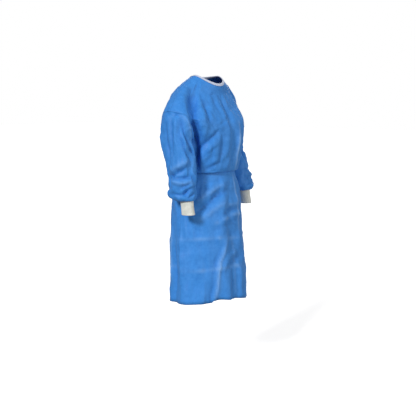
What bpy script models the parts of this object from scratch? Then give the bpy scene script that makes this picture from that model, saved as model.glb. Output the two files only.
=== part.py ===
"""A surgical gown in its worn, hollow form.

Metres, +Z up. The front faces -Y and the wearer's left is +X. The origin is the middle of the neck
at the height of the high shoulder points, where the wearer's shoulders carry the gown.

The body is one skin of cloth: rings round the figure, from the neckline over the shoulders and down
to the hem, with a hole in the rings for each armhole. Each sleeve grows from its hole. The sewn
panels are cut out of that skin and given their thickness.
"""

import math
from collections import namedtuple

import bmesh
import bpy
import numpy as np

CLOTH_WALL = 0.0015
KNIT_WALL = 0.0020
TRIM_WALL = 0.0010
SEAM_GAP = 0.0003
LAY_GAP = 0.0005

# Where the panels meet round the body: 0 is the centre front, 1 the centre back, along the cloth.
SIDE_SEAM = 0.50
CREASE_FRONT = 0.29
ARMHOLE_FRONT = 0.38
ARMHOLE_BACK = 0.62
FLAP_REACH = 1.12
CHEST_COLUMNS = 6
CREASE_COLUMNS = 3
ARMHOLE_COLUMNS = 5
BACK_COLUMNS = 7
FLAP_COLUMNS = 2
FLAP_SPACING = 0.0052

BINDING_WIDTH = 0.0130
BELT_WIDTH = 0.0230
BELT_BOTTOM = -0.4410
BELT_ROWS = (0.03, 0.95)
BELT_END_STEPS = 9
BELT_END_WAVE, BELT_END_WAVE_TURN = 0.0020, 7.0
BELT_END_TWIST, BELT_END_TWIST_TURN, BELT_END_TWIST_START = 0.20, 4.0, 6.0
BELT_END_CURVE = 1.3
KNOT_SIZE = (0.030, 0.011, 0.018)
KNOT_DROP = 0.0020
KNOT_ROUNDING, KNOT_PULL, KNOT_PINCH = 0.42, 0.22, 0.12
FASTENER_AROUND = (1.00, 1.23)
FASTENER_ROWS = (1.05, 1.95)
FASTENER_STEPS = 9
FASTENER_BEND = (0.005, 0.035)

CUFF_RADIUS = 0.0290
CUFF_LENGTH = 0.0720
CUFF_TUCK = 0.0060
CUFF_LEAN = 0.0100
CUFF_WAIST = 0.0010
CUFF_ROWS = 3
CUFF_SIDES = 24
SLEEVE_GATHERS = 11
SLEEVE_GATHER_DEPTH = 0.0032

# One row for each section of the body. The corner is the exponent of the section's rounded
# rectangle, 2 for an ellipse. From blouse_low to waist_low the cloth hangs over the belt: it turns
# in and up at the overhang's edge, and down again behind the belt.
BodySection = namedtuple(
    "BodySection", "name half_width front back corner centre_y z_front z_side z_back steps"
)
BODY_SECTIONS = [
    BodySection("neckline", 0.085, 0.064, 0.062, 2.0, -0.012, -0.044, -0.006, -0.014, 1),
    BodySection("binding", 0.103, 0.072, 0.069, 2.0, -0.009, -0.058, -0.013, -0.028, 2),
    BodySection("shoulder", 0.160, 0.080, 0.080, 2.0, 0.000, -0.090, -0.043, -0.072, 2),
    BodySection("point", 0.212, 0.094, 0.095, 2.1, 0.000, -0.128, -0.076, -0.110, 2),
    BodySection("cap", 0.264, 0.114, 0.107, 2.2, 0.000, -0.170, -0.120, -0.146, 2),
    BodySection("armhole_top", 0.293, 0.131, 0.118, 2.3, -0.002, -0.205, -0.168, -0.188, 3),
    BodySection("armhole", 0.245, 0.141, 0.121, 2.5, -0.003, -0.245, -0.229, -0.236, 3),
    BodySection("armhole_low", 0.196, 0.143, 0.124, 2.9, -0.003, -0.284, -0.285, -0.285, 1),
    BodySection("underarm", 0.180, 0.145, 0.124, 3.0, -0.003, -0.308, -0.306, -0.306, 1),
    BodySection("ribs", 0.176, 0.139, 0.124, 3.0, -0.004, -0.338, -0.336, -0.336, 2),
    BodySection("blouse", 0.176, 0.132, 0.126, 2.7, -0.007, -0.386, -0.386, -0.383, 1),
    BodySection("blouse_low", 0.175, 0.128, 0.125, 2.6, -0.008, -0.415, -0.415, -0.405, 1),
    BodySection("overhang", 0.172, 0.124, 0.1235, 2.5, -0.009, -0.437, -0.437, -0.422, 1),
    BodySection("overhang_edge", 0.167, 0.1195, 0.1195, 2.4, -0.010, -0.444, -0.444, -0.429, 1),
    BodySection("tuck", 0.162, 0.1145, 0.1155, 2.3, -0.010, -0.436, -0.436, -0.424, 1),
    BodySection("tuck_top", 0.1605, 0.1135, 0.1150, 2.2, -0.010, -0.417, -0.417, -0.417, 1),
    BodySection("tuck_turn", 0.1575, 0.1110, 0.1110, 2.2, -0.010, -0.410, -0.410, -0.410, 1),
    BodySection("waist", 0.1545, 0.1085, 0.1065, 2.2, -0.010, -0.417, -0.417, -0.417, 1),
    BodySection("waist_low", 0.1545, 0.1085, 0.1065, 2.2, -0.010, -0.442, -0.442, -0.442, 1),
    BodySection("skirt_top", 0.163, 0.1145, 0.1125, 2.1, -0.010, -0.466, -0.466, -0.466, 2),
    BodySection("hip", 0.192, 0.126, 0.128, 2.1, -0.011, -0.538, -0.538, -0.538, 2),
    BodySection("seat", 0.206, 0.134, 0.138, 2.0, -0.012, -0.625, -0.625, -0.625, 2),
    BodySection("thigh", 0.214, 0.140, 0.141, 2.0, -0.014, -0.735, -0.738, -0.740, 3),
    BodySection("knee", 0.221, 0.148, 0.143, 2.0, -0.021, -0.885, -0.890, -0.895, 2),
    BodySection("hem", 0.227, 0.153, 0.146, 2.0, -0.023, -1.028, -1.030, -1.040, 0),
]

# A fold runs from one place on the cloth to another, as a ridge where it stands out and as a trough
# where its height is below zero. Places round the body are negative on the wearer's right.
BodyFold = namedtuple("BodyFold", "name around_0 z_0 around_1 z_1 width height")
BODY_FOLDS = [
    BodyFold("armhole_crease_right", -0.330, -0.095, -0.345, -0.280, 0.014, -0.024),
    BodyFold("armhole_crease_left", 0.330, -0.100, 0.345, -0.275, 0.014, -0.020),
    BodyFold("armhole_crease_back_right", -0.695, -0.100, -0.680, -0.270, 0.018, -0.011),
    BodyFold("armhole_crease_back_left", 0.695, -0.100, 0.680, -0.270, 0.018, -0.011),
    BodyFold("neck_drag_right", -0.27, -0.060, -0.13, -0.190, 0.016, -0.007),
    BodyFold("shoulder_drag_right", -0.34, -0.080, -0.22, -0.240, 0.016, -0.008),
    BodyFold("chest_drag", -0.07, -0.105, 0.02, -0.230, 0.018, -0.006),
    BodyFold("neck_drag_left", 0.20, -0.070, 0.10, -0.200, 0.018, -0.006),
    BodyFold("shoulder_drag_left", 0.31, -0.090, 0.24, -0.250, 0.018, -0.007),
    BodyFold("belly_facet", -0.30, -0.280, -0.12, -0.420, 0.034, 0.011),
    BodyFold("belly_trough", -0.34, -0.390, -0.13, -0.265, 0.020, -0.011),
    BodyFold("belly_edge", -0.11, -0.260, -0.09, -0.450, 0.017, -0.008),
    BodyFold("front_rim_left", 0.17, -0.240, 0.18, -0.455, 0.020, 0.005),
    BodyFold("front_trough_left", 0.06, -0.300, 0.02, -0.455, 0.022, -0.007),
    BodyFold("side_trough_left", 0.31, -0.300, 0.27, -0.450, 0.020, -0.006),
    BodyFold("back_drag_right", -0.86, -0.110, -0.72, -0.320, 0.022, -0.007),
    BodyFold("back_drag_left", 0.84, -0.110, 0.70, -0.330, 0.022, -0.007),
    BodyFold("back_trough_right", -0.80, -0.330, -0.76, -0.440, 0.020, -0.006),
    BodyFold("back_ridge_left", 0.78, -0.300, 0.74, -0.440, 0.024, 0.006),
    BodyFold("waist_pull_right", -0.29, -0.560, -0.12, -0.490, 0.014, 0.006),
    BodyFold("waist_pull_trough", -0.33, -0.590, -0.14, -0.510, 0.014, -0.005),
    BodyFold("hip_ridge", -0.08, -0.600, 0.16, -0.575, 0.015, 0.005),
    BodyFold("thigh_drag", -0.14, -0.690, 0.14, -0.630, 0.018, 0.005),
]

# A fold that starts under the waist and opens out towards the hem.
SkirtFold = namedtuple("SkirtFold", "name around z_start lean width height")
SKIRT_FOLDS = [
    SkirtFold("front_trough", -0.195, -0.80, 0.02, 0.020, -0.020),
    SkirtFold("front_ridge", -0.115, -0.60, 0.01, 0.030, 0.012),
    SkirtFold("front_soft", 0.020, -0.66, -0.02, 0.030, -0.012),
    SkirtFold("front_left_ridge", 0.130, -0.55, 0.01, 0.034, 0.012),
    SkirtFold("front_left_trough", 0.245, -0.60, 0.02, 0.030, -0.016),
    SkirtFold("side_left_ridge", 0.375, -0.56, 0.00, 0.036, 0.014),
    SkirtFold("side_left_trough", 0.500, -0.62, 0.01, 0.030, -0.016),
    SkirtFold("back_left_ridge", 0.620, -0.55, 0.02, 0.038, 0.015),
    SkirtFold("back_left_trough", 0.760, -0.58, -0.01, 0.032, -0.017),
    SkirtFold("back_right_trough", -0.780, -0.56, 0.01, 0.032, -0.016),
    SkirtFold("back_right_ridge", -0.655, -0.54, 0.00, 0.030, 0.015),
    SkirtFold("side_right_trough", -0.575, -0.66, 0.00, 0.020, -0.018),
    SkirtFold("side_right_ridge", -0.450, -0.56, 0.01, 0.040, 0.012),
    SkirtFold("near_trough", -0.325, -0.62, 0.02, 0.030, -0.010),
]

# One row for each ring of a sleeve below its armhole seam. The tilt lifts the outer side of the ring
# above its middle. The arms hang differently, so each side has its own place from front to back.
SleeveRing = namedtuple("SleeveRing", "name centre_x right_y left_y z tilt reach_x reach_y steps")
SLEEVE_RINGS = [
    SleeveRing("shoulder", 0.2580, -0.026, 0.040, -0.2530, 0.0450, 0.0520, 0.0700, 2),
    SleeveRing("upper_arm", 0.2570, -0.036, 0.044, -0.2960, 0.0280, 0.0610, 0.0690, 2),
    SleeveRing("elbow", 0.2525, -0.046, 0.028, -0.3500, 0.0080, 0.0640, 0.0655, 2),
    SleeveRing("forearm", 0.2520, -0.052, 0.000, -0.4050, 0.0000, 0.0635, 0.0645, 2),
    SleeveRing("low_forearm", 0.2520, -0.054, -0.020, -0.4620, 0.0000, 0.0635, 0.0640, 2),
    SleeveRing("blouse", 0.2520, -0.056, -0.034, -0.5130, 0.0000, 0.0640, 0.0645, 1),
    SleeveRing("blouse_low", 0.2520, -0.058, -0.036, -0.5370, 0.0000, 0.0600, 0.0610, 1),
    SleeveRing("gathers", 0.2510, -0.066, -0.044, -0.5475, 0.0000, 0.0470, 0.0480, 1),
    SleeveRing("cuff_seam", 0.2500, -0.077, -0.055, -0.5500, 0.0000, 0.0323, 0.0323, 0),
]
ARMHOLE_STEPS = 2

# A fold down a sleeve. The turn is in degrees: 0 is the outside of the arm, 90 its front, 180 the
# side next to the body and 270 its back.
SleeveFold = namedtuple("SleeveFold", "name turn_0 z_0 turn_1 z_1 width height")
SLEEVE_FOLDS = [
    SleeveFold("front_ridge", 66, -0.225, 50, -0.420, 0.014, 0.009),
    SleeveFold("front_trough", 100, -0.240, 76, -0.400, 0.014, -0.011),
    SleeveFold("outer_trough", 30, -0.225, 24, -0.380, 0.016, -0.009),
    SleeveFold("inner_front_ridge", 118, -0.260, 100, -0.400, 0.012, 0.006),
    SleeveFold("elbow_crease", 60, -0.385, 135, -0.345, 0.011, -0.005),
    SleeveFold("forearm_trough", 40, -0.400, 55, -0.520, 0.014, -0.008),
    SleeveFold("forearm_fold", 20, -0.468, 120, -0.492, 0.011, -0.009),
    SleeveFold("outer_low_trough", -20, -0.420, -8, -0.530, 0.013, -0.005),
    SleeveFold("back_ridge", -60, -0.240, -45, -0.420, 0.014, 0.006),
    SleeveFold("back_trough", -92, -0.250, -75, -0.430, 0.014, -0.007),
    SleeveFold("back_low_fold", -120, -0.490, -30, -0.465, 0.011, -0.006),
]

# A free end of the belt, from a place round the body where it leaves the knot.
BeltEnd = namedtuple("BeltEnd", "name around length sway lift")
BELT_ENDS = [
    BeltEnd("belt_end_a", 0.970, 0.26, -0.03, 0.009),
    BeltEnd("belt_end_b", 1.032, 0.22, 0.03, 0.009),
]

# The arms take the cloth at the shoulders back and forward with them. Each pair is where a change
# starts and where it is full: metres out from the middle, rows of the skin, or heights.
LEFT_ARM_BACK = 0.045
RIGHT_ARM_FORWARD = 0.020
SWING_OUT = (0.14, 0.26)
SWING_ROWS = (2, 8)
SWING_END_ROWS = (19, 14)
HEM_DROP_LEFT = 0.045
HEM_DROP_HEIGHTS = (-0.50, -1.00)
NECK_CALM_ROWS = (0.5, 2.5)
WAIST_CALM_ABOVE, WAIST_CALM_BELOW = 3.0, 2.0
FLAP_PARTING = (0.74, 0.90)
GATHER_HEIGHTS = (-0.500, -0.530)
GATHER_REACH = (0.031, 0.046)
# Cosines from the side of the arm next to the body, where folds fade out.
INNER_ARM = (0.35, 0.85)

# How soft folds end, and how far a skirt fold is as wide at its start and at the hem.
FOLD_END = 0.12
FOLD_FADE = 0.8
SKIRT_FOLD_START, SKIRT_FOLD_SPREAD = 0.7, 0.5
SHOULDER_SLOPE = 1.5
SECTION_SAMPLES = 90
ROW_STEP, AROUND_STEP = 0.5, 0.01
HEM_HALF_WIDTH = BODY_SECTIONS[-1].half_width
METRES_AROUND = 0.60
LAPS_AROUND = (-2.0, 0.0, 2.0)
SLEEVE_RADIUS = 0.065
RIGHT, LEFT = -1.0, 1.0

Cloth = namedtuple("Cloth", "colour roughness")
BLUE_NONWOVEN = Cloth((0.060, 0.245, 0.620), 0.82)
BLUE_TAPE = Cloth((0.070, 0.265, 0.640), 0.78)
PALE_BINDING = Cloth((0.690, 0.740, 0.880), 0.80)
WHITE_KNIT = Cloth((0.800, 0.815, 0.770), 0.90)
WHITE_HOOK_TAPE = Cloth((0.780, 0.800, 0.840), 0.70)


def clear_scene():
    for obj in list(bpy.data.objects):
        bpy.data.objects.remove(obj, do_unlink=True)


def material(name, cloth):
    made = bpy.data.materials.new(name)
    made.use_nodes = True
    shader = made.node_tree.nodes["Principled BSDF"]
    shader.inputs["Base Color"].default_value = (*cloth.colour, 1.0)
    shader.inputs["Roughness"].default_value = cloth.roughness
    shader.inputs["Metallic"].default_value = 0.0
    return made


def soft_step(value):
    value = np.clip(value, 0.0, 1.0)
    return value * value * (3.0 - 2.0 * value)


def soft_ramp(value, start, full):
    """0 up to the start and 1 past where it is full, with a soft curve between them."""
    return soft_step((value - start) / (full - start))


def smooth_between(stations, column):
    """The values of one column at every step, on a curve through the stations that never overshoots."""
    values = np.array([getattr(row, column) for row in stations], dtype=float)
    rises = np.diff(values)
    slopes = np.zeros(len(values))
    slopes[0], slopes[-1] = rises[0], rises[-1]
    for i in range(1, len(values) - 1):
        if rises[i - 1] * rises[i] > 0:
            slopes[i] = 2.0 / (1.0 / rises[i - 1] + 1.0 / rises[i])
    found = []
    for i, row in enumerate(stations[:-1]):
        for step in range(row.steps):
            t = step / row.steps
            found.append(
                values[i] * (1 + 2 * t) * (1 - t) ** 2
                + slopes[i] * t * (1 - t) ** 2
                + values[i + 1] * t * t * (3 - 2 * t)
                + slopes[i + 1] * t * t * (t - 1)
            )
    return np.array(found + [values[-1]])


def fold_height(fold_from, fold_to, places, width, height):
    """The height of a soft fold at each place: full along its middle and fading out at both ends."""
    run = fold_to - fold_from
    along = np.clip((places - fold_from) @ run / (run @ run), 0.0, 1.0)
    nearest = fold_from + along[..., None] * run
    away = np.linalg.norm(places - nearest, axis=-1)
    fade = np.sin(np.pi * (FOLD_END + (1 - 2 * FOLD_END) * along)) ** FOLD_FADE
    return height * fade * np.exp(-((away / width) ** 2))


def section_points(half_width, depth, corner):
    """A quarter of a section: places from the middle round to the side, and the share of its length."""
    turn = np.linspace(0.0, math.pi / 2, SECTION_SAMPLES)
    across = half_width * np.sin(turn) ** (2.0 / corner)
    outward = depth * np.cos(turn) ** (2.0 / corner)
    lengths = np.hypot(np.diff(across), np.diff(outward))
    share = np.concatenate([[0.0], np.cumsum(lengths)]) / lengths.sum()
    return across, outward, share


def wrap_around(around):
    """Places past the centre back, given as places on the other side."""
    around = np.asarray(around, dtype=float)
    return np.where(np.abs(around) > 1.0, np.sign(around) * (np.abs(around) - 2.0), around)


def body_columns():
    """The places round the body of the skin's columns, for the wearer's left half."""
    chest = np.linspace(0.0, CREASE_FRONT, CHEST_COLUMNS, endpoint=False)
    crease = np.linspace(CREASE_FRONT, ARMHOLE_FRONT, CREASE_COLUMNS, endpoint=False)
    before = np.linspace(ARMHOLE_FRONT, SIDE_SEAM, ARMHOLE_COLUMNS, endpoint=False)
    behind = np.linspace(SIDE_SEAM, ARMHOLE_BACK, ARMHOLE_COLUMNS, endpoint=False)
    back = np.linspace(ARMHOLE_BACK, 1.0, BACK_COLUMNS, endpoint=False)
    flap = np.linspace(1.0, FLAP_REACH, FLAP_COLUMNS + 1)
    return np.concatenate([chest, crease, before, behind, back, flap])


class Body:
    """The rings of the body's skin, and the places on it where the other pieces lie."""

    def __init__(self):
        left = body_columns()
        self.around = np.concatenate([-left[:0:-1], left])
        names = [n for n in BodySection._fields if n not in ("name", "steps")]
        self.rows = {name: smooth_between(BODY_SECTIONS, name) for name in names}
        self.row_count = len(self.rows["z_side"])
        self.points = np.array(
            [self.ring(row, self.around) for row in range(self.row_count)]
        )

    def row_of(self, name):
        """The row of the skin where the named section lies."""
        row = 0
        for section in BODY_SECTIONS:
            if section.name == name:
                return row
            row += section.steps
        raise KeyError(name)

    def column_of(self, around):
        return int(np.argmin(np.abs(self.around - around)))

    def plain_ring(self, row, around):
        """Points of one row at these places round the body, before any fold."""
        value = {name: np.interp(row, range(self.row_count), found) for name, found in self.rows.items()}
        wrapped = wrap_around(around)
        side = np.where(wrapped < 0, RIGHT, LEFT)
        place = np.abs(wrapped)
        in_front = place <= SIDE_SEAM
        share = np.where(in_front, place, 1.0 - place) / SIDE_SEAM
        x = np.empty_like(share)
        y = np.empty_like(share)
        for front, depth, sign in ((True, value["front"], -1.0), (False, value["back"], 1.0)):
            across, out, shares = section_points(value["half_width"], depth, value["corner"])
            chosen = in_front == front
            x[chosen] = np.interp(share[chosen], shares, across)
            y[chosen] = sign * np.interp(share[chosen], shares, out)
        facing = np.abs(y) / np.where(in_front, value["front"], value["back"])
        z_end = np.where(in_front, value["z_front"], value["z_back"])
        z = value["z_side"] + (z_end - value["z_side"]) * facing**SHOULDER_SLOPE
        to_left = np.where(side > 0, x / HEM_HALF_WIDTH, 0.0)
        z = z - HEM_DROP_LEFT * soft_ramp(z, *HEM_DROP_HEIGHTS) * to_left
        swing = soft_ramp(x, *SWING_OUT) * soft_ramp(row, *SWING_ROWS) * soft_ramp(row, *SWING_END_ROWS)
        y = y + value["centre_y"] + np.where(side > 0, LEFT_ARM_BACK, -RIGHT_ARM_FORWARD) * swing
        return np.stack([side * x, y, z], axis=-1)

    def ring(self, row, around, outward=0.0, flap=None):
        """Points of one row with its folds, moved outward from the cloth by this much."""
        around = np.asarray(around, dtype=float)
        wrapped = wrap_around(around)
        points = self.plain_ring(row, around)
        above = self.plain_ring(max(row - ROW_STEP, 0.0), around)
        below = self.plain_ring(min(row + ROW_STEP, self.row_count - 1.0), around)
        ahead = self.plain_ring(row, around + AROUND_STEP)
        behind = self.plain_ring(row, around - AROUND_STEP)
        normal = np.cross(below - above, ahead - behind)
        normal /= np.linalg.norm(normal, axis=-1, keepdims=True)
        z = points[..., 2]
        places = np.stack([wrapped * METRES_AROUND, z], axis=-1)
        height = self.folds_at(places) + self.skirt_folds_at(row, wrapped, z)
        height = height * self.fold_share(row) + outward + self.flap_lift(around, flap)
        return points + normal * height[..., None]

    def fold_share(self, row):
        """Folds die away at the sewn neckline and where the belt draws the cloth in."""
        edge, low = self.row_of("overhang_edge"), self.row_of("waist_low")
        above = soft_ramp(row, edge, edge - WAIST_CALM_ABOVE)
        below = soft_ramp(row, low, low + WAIST_CALM_BELOW)
        return soft_ramp(row, *NECK_CALM_ROWS) * np.maximum(above, below)

    def folds_at(self, places):
        total = np.zeros(places.shape[:-1])
        for fold in BODY_FOLDS:
            for lap in LAPS_AROUND:
                start = np.array([(fold.around_0 + lap) * METRES_AROUND, fold.z_0])
                end = np.array([(fold.around_1 + lap) * METRES_AROUND, fold.z_1])
                total += fold_height(start, end, places, fold.width, fold.height)
        return total

    def skirt_folds_at(self, row, around, z):
        if row < self.row_of("waist_low"):
            return np.zeros_like(z)
        total = np.zeros_like(z)
        hem = BODY_SECTIONS[-1].z_side
        for fold in SKIRT_FOLDS:
            opened = np.clip((fold.z_start - z) / (fold.z_start - hem), 0.0, 1.0)
            middle = fold.around + fold.lean * opened
            for lap in LAPS_AROUND:
                width = fold.width * (SKIRT_FOLD_START + SKIRT_FOLD_SPREAD * opened)
                away = (around - middle - lap) * METRES_AROUND / width
                total += fold.height * opened**FOLD_FADE * np.exp(-(away**2))
        return total

    def flap_lift(self, around, flap):
        """The left back lies over the right one, so each moves half their spacing."""
        side = np.sign(around) if flap is None else flap
        return side * 0.5 * FLAP_SPACING * soft_ramp(np.abs(around), *FLAP_PARTING)


def swept_ring(stations, i, side, turns):
    """The ring of a sleeve at one of its steps, at these turns round the arm."""
    value = {name: stations[name][i] for name in stations}
    y = value["right_y"] if side < 0 else value["left_y"]
    x = side * (value["centre_x"] + value["reach_x"] * np.cos(turns))
    z = value["z"] + value["tilt"] * np.cos(turns)
    points = np.stack([x, y - value["reach_y"] * np.sin(turns), z], axis=-1)
    outward = np.stack([side * np.cos(turns), -np.sin(turns), np.zeros_like(turns)], axis=-1)
    degrees = np.degrees(turns)
    height = np.zeros_like(turns)
    for fold in SLEEVE_FOLDS:
        for lap in (-360.0, 0.0, 360.0):
            metres = math.radians(1.0) * SLEEVE_RADIUS
            start = np.array([(fold.turn_0 + lap) * metres, fold.z_0])
            end = np.array([(fold.turn_1 + lap) * metres, fold.z_1])
            places = np.stack([degrees * metres, z], axis=-1)
            height += fold_height(start, end, places, fold.width, fold.height)
    height = height * (1.0 - soft_ramp(-np.cos(turns), *INNER_ARM))
    gathered = soft_ramp(value["z"], *GATHER_HEIGHTS) * soft_ramp(value["reach_x"], *GATHER_REACH)
    height += SLEEVE_GATHER_DEPTH * gathered * np.sin(SLEEVE_GATHERS * turns)
    return points + outward * height[..., None]


def armhole_loop(body, side):
    """The body's rows and columns round an armhole, from its top forwards, down, back and up."""
    top, low = body.row_of("armhole_top"), body.row_of("armhole_low")
    seam, front, back = (
        body.column_of(side * place) for place in (SIDE_SEAM, ARMHOLE_FRONT, ARMHOLE_BACK)
    )
    step = -1 if front < seam else 1
    loop = [(top, column) for column in range(seam, front, step)]
    loop += [(row, front) for row in range(top, low)]
    loop += [(low, column) for column in range(front, back, -step)]
    loop += [(row, back) for row in range(low, top, -1)]
    return loop + [(top, column) for column in range(back, seam, step)]


def skin_of_cloth(body):
    """The middle surface of the body and sleeves as one mesh, each face marked with its panel."""
    skin = bmesh.new()
    panels = ["front", "back_left", "back_right", "sleeve_left", "sleeve_right"]
    grid = [[skin.verts.new(point) for point in row] for row in body.points]
    top, low = body.row_of("armhole_top"), body.row_of("armhole_low")
    for row in range(body.row_count - 1):
        for column in range(len(body.around) - 1):
            middle = 0.5 * (body.around[column] + body.around[column + 1])
            if top <= row < low and ARMHOLE_FRONT < abs(middle) < ARMHOLE_BACK:
                continue
            corners = [
                grid[row][column],
                grid[row + 1][column],
                grid[row + 1][column + 1],
                grid[row][column + 1],
            ]
            face = skin.faces.new(corners)
            if abs(middle) < SIDE_SEAM:
                face.material_index = panels.index("front")
            else:
                face.material_index = panels.index("back_left" if middle > 0 else "back_right")
    names = [n for n in SleeveRing._fields if n not in ("name", "steps")]
    stations = {name: smooth_between(SLEEVE_RINGS, name) for name in names}
    for side, name in ((LEFT, "sleeve_left"), (RIGHT, "sleeve_right")):
        ring = [grid[row][column] for row, column in armhole_loop(body, side)]
        seam = np.array([vertex.co[:] for vertex in ring])
        lengths = np.linalg.norm(seam - np.roll(seam, 1, axis=0), axis=1)
        turns = 2 * math.pi * (np.cumsum(lengths) - lengths[0]) / lengths.sum()
        rings = []
        first = swept_ring(stations, 0, side, turns)
        for step in range(1, ARMHOLE_STEPS):
            rings.append(seam + (first - seam) * step / ARMHOLE_STEPS)
        rings += [swept_ring(stations, i, side, turns) for i in range(len(stations["z"]))]
        for points in rings:
            below = [skin.verts.new(point) for point in points]
            for i in range(len(ring)):
                j = (i + 1) % len(ring)
                face = skin.faces.new([ring[i], ring[j], below[j], below[i]])
                face.material_index = panels.index(name)
            ring = below
    bmesh.ops.recalc_face_normals(skin, faces=skin.faces)
    skin.normal_update()
    skin.verts.index_update()
    return skin, panels


def walled(faces, wall, gap):
    """A closed mesh round some faces of a skin: both sides of the cloth and its cut edges."""
    solid = bmesh.new()
    outer, inner = {}, {}
    chosen = set(faces)
    corners = {vertex for face in faces for vertex in face.verts}
    for vertex in sorted(corners, key=lambda v: v.index):
        own = [face for face in vertex.link_faces if face in chosen]
        place = vertex.co.copy()
        if any(sum(face in chosen for face in edge.link_faces) == 1 for edge in vertex.link_edges):
            inward = sum((face.calc_center_median() for face in own), place * 0) / len(own) - place
            inward -= vertex.normal * inward.dot(vertex.normal)
            place += inward.normalized() * gap / 2
        outer[vertex] = solid.verts.new(place + vertex.normal * wall / 2)
        inner[vertex] = solid.verts.new(place - vertex.normal * wall / 2)
    for face in faces:
        solid.faces.new([outer[v] for v in face.verts])
        solid.faces.new([inner[v] for v in reversed(face.verts)])
        for loop in face.loops:
            if sum(other in chosen for other in loop.edge.link_faces) == 1:
                # Both panels at a seam split their cut edges along the same diagonal.
                a, b = sorted((loop.vert, loop.link_loop_next.vert), key=lambda v: v.index)
                solid.faces.new([outer[a], outer[b], inner[b]])
                solid.faces.new([outer[a], inner[b], inner[a]])
    bmesh.ops.recalc_face_normals(solid, faces=solid.faces)
    return solid


def lofted(rings, closed=False):
    """A closed mesh through rings of equal length: capped at both ends, or joined end to end."""
    solid = bmesh.new()
    made = [[solid.verts.new(point) for point in ring] for ring in rings]
    pairs = list(zip(made, made[1:]))
    if closed:
        pairs.append((made[-1], made[0]))
    for one, two in pairs:
        for i in range(len(one)):
            j = (i + 1) % len(one)
            solid.faces.new([one[i], one[j], two[j], two[i]])
    if not closed:
        solid.faces.new(made[0])
        solid.faces.new(made[-1][::-1])
    bmesh.ops.recalc_face_normals(solid, faces=solid.faces)
    return solid


def add_object(name, solid, finish, collection):
    mesh = bpy.data.meshes.new(name)
    solid.to_mesh(mesh)
    solid.free()
    mesh.materials.clear()
    for polygon in mesh.polygons:
        polygon.material_index = 0
    mesh.materials.append(finish)
    mesh.shade_smooth()
    mesh.set_sharp_from_angle(angle=math.radians(50))
    obj = bpy.data.objects.new(name, mesh)
    collection.objects.link(obj)
    return obj


def strip_rings(points, normals, sides, wall):
    """Rings of a flat strip: its two edges at each place, with half its thickness either way."""
    rings = []
    for (left, right), normal in zip(zip(points - sides, points + sides), normals):
        half = normal * wall / 2
        rings.append([left + half, right + half, right - half, left - half])
    return rings


def neck_binding(body, skin_normals):
    """A folded strip over the neckline: two legs along the cloth and a fold over its edge."""
    edge, below = body.points[0], body.points[1]
    down = (below - edge) / np.linalg.norm(below - edge, axis=1, keepdims=True)
    share = BINDING_WIDTH / np.linalg.norm(below - edge, axis=1, keepdims=True)
    near = CLOTH_WALL / 2 + LAY_GAP
    far = near + TRIM_WALL
    foot = edge + down * BINDING_WIDTH
    foot_normal = skin_normals[0] * (1 - share) + skin_normals[1] * share
    fold_inside = edge - down * SEAM_GAP
    fold_outside = fold_inside - down * TRIM_WALL
    profile = [
        foot + foot_normal * far,
        fold_outside + skin_normals[0] * far,
        fold_outside - skin_normals[0] * far,
        foot - foot_normal * far,
        foot - foot_normal * near,
        fold_inside - skin_normals[0] * near,
        fold_inside + skin_normals[0] * near,
        foot + foot_normal * near,
    ]
    return lofted(np.swapaxes(np.array(profile), 0, 1))


def neck_fastener(body):
    """A hook tab sewn to the outer flap below the binding, its free end on the inner flap."""
    lift = CLOTH_WALL / 2 + 2 * LAY_GAP + TRIM_WALL / 2
    rings = []
    for around in np.linspace(*FASTENER_AROUND, FASTENER_STEPS):
        on_inner = soft_ramp(around - FLAP_REACH, *FASTENER_BEND)
        corners = []
        for row, side in ((0, -0.5), (1, -0.5), (1, 0.5), (0, 0.5)):
            height = lift + side * TRIM_WALL
            on_left = body.ring(FASTENER_ROWS[row], [around], height, flap=LEFT)[0]
            on_right = body.ring(FASTENER_ROWS[row], [around - 2.0], height)[0]
            corners.append(on_left + (on_right - on_left) * on_inner)
        rings.append(corners)
    return lofted(rings)


def belt_ring(body):
    """The belt lies in the waist, under the edge of the bodice that hangs over it."""
    past_flap = FLAP_REACH - 2.0 + 0.5 * (1.0 - ARMHOLE_BACK) / BACK_COLUMNS
    top, low = (body.row_of("waist") + share for share in BELT_ROWS)
    lift = CLOTH_WALL / 2 + LAY_GAP + TRIM_WALL / 2
    rings = []
    for place in body.around[body.around > past_flap]:
        corners = []
        for row, side in ((top, -0.5), (low, -0.5), (low, 0.5), (top, 0.5)):
            corners.append(body.ring(row, [place], lift + side * TRIM_WALL)[0])
        rings.append(corners)
    return lofted(rings, closed=True)


def belt_end(body, end):
    """A free end of the belt, hanging down the back of the skirt from the knot."""
    knot_bottom = BELT_BOTTOM - KNOT_DROP - KNOT_SIZE[2] / 2
    first = body.row_of("waist_low")
    rows = np.arange(first, body.row_count)
    depths = np.array([-body.ring(row, [end.around])[0][2] for row in rows])
    points, sides = [], []
    for share in np.linspace(0.0, 1.0, BELT_END_STEPS):
        row = np.interp(end.length * share - knot_bottom, depths, rows)
        place = end.around + end.sway * share**BELT_END_CURVE
        wave = BELT_END_WAVE * math.sin(BELT_END_WAVE_TURN * share)
        points.append(body.ring(row, [place], end.lift + wave, flap=LEFT)[0])
        turn = BELT_END_TWIST_TURN * share + BELT_END_TWIST_START * end.around
        turn = BELT_END_TWIST * math.sin(turn)
        sides.append([math.cos(turn), math.sin(turn), 0.0])
    points, sides = np.array(points), np.array(sides)
    points[:, 2] += knot_bottom - SEAM_GAP - points[0, 2]
    normals = np.stack([-sides[:, 1], sides[:, 0], np.zeros(len(sides))], axis=1)
    return lofted(strip_rings(points, normals, sides * BELT_WIDTH / 2, TRIM_WALL))


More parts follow.
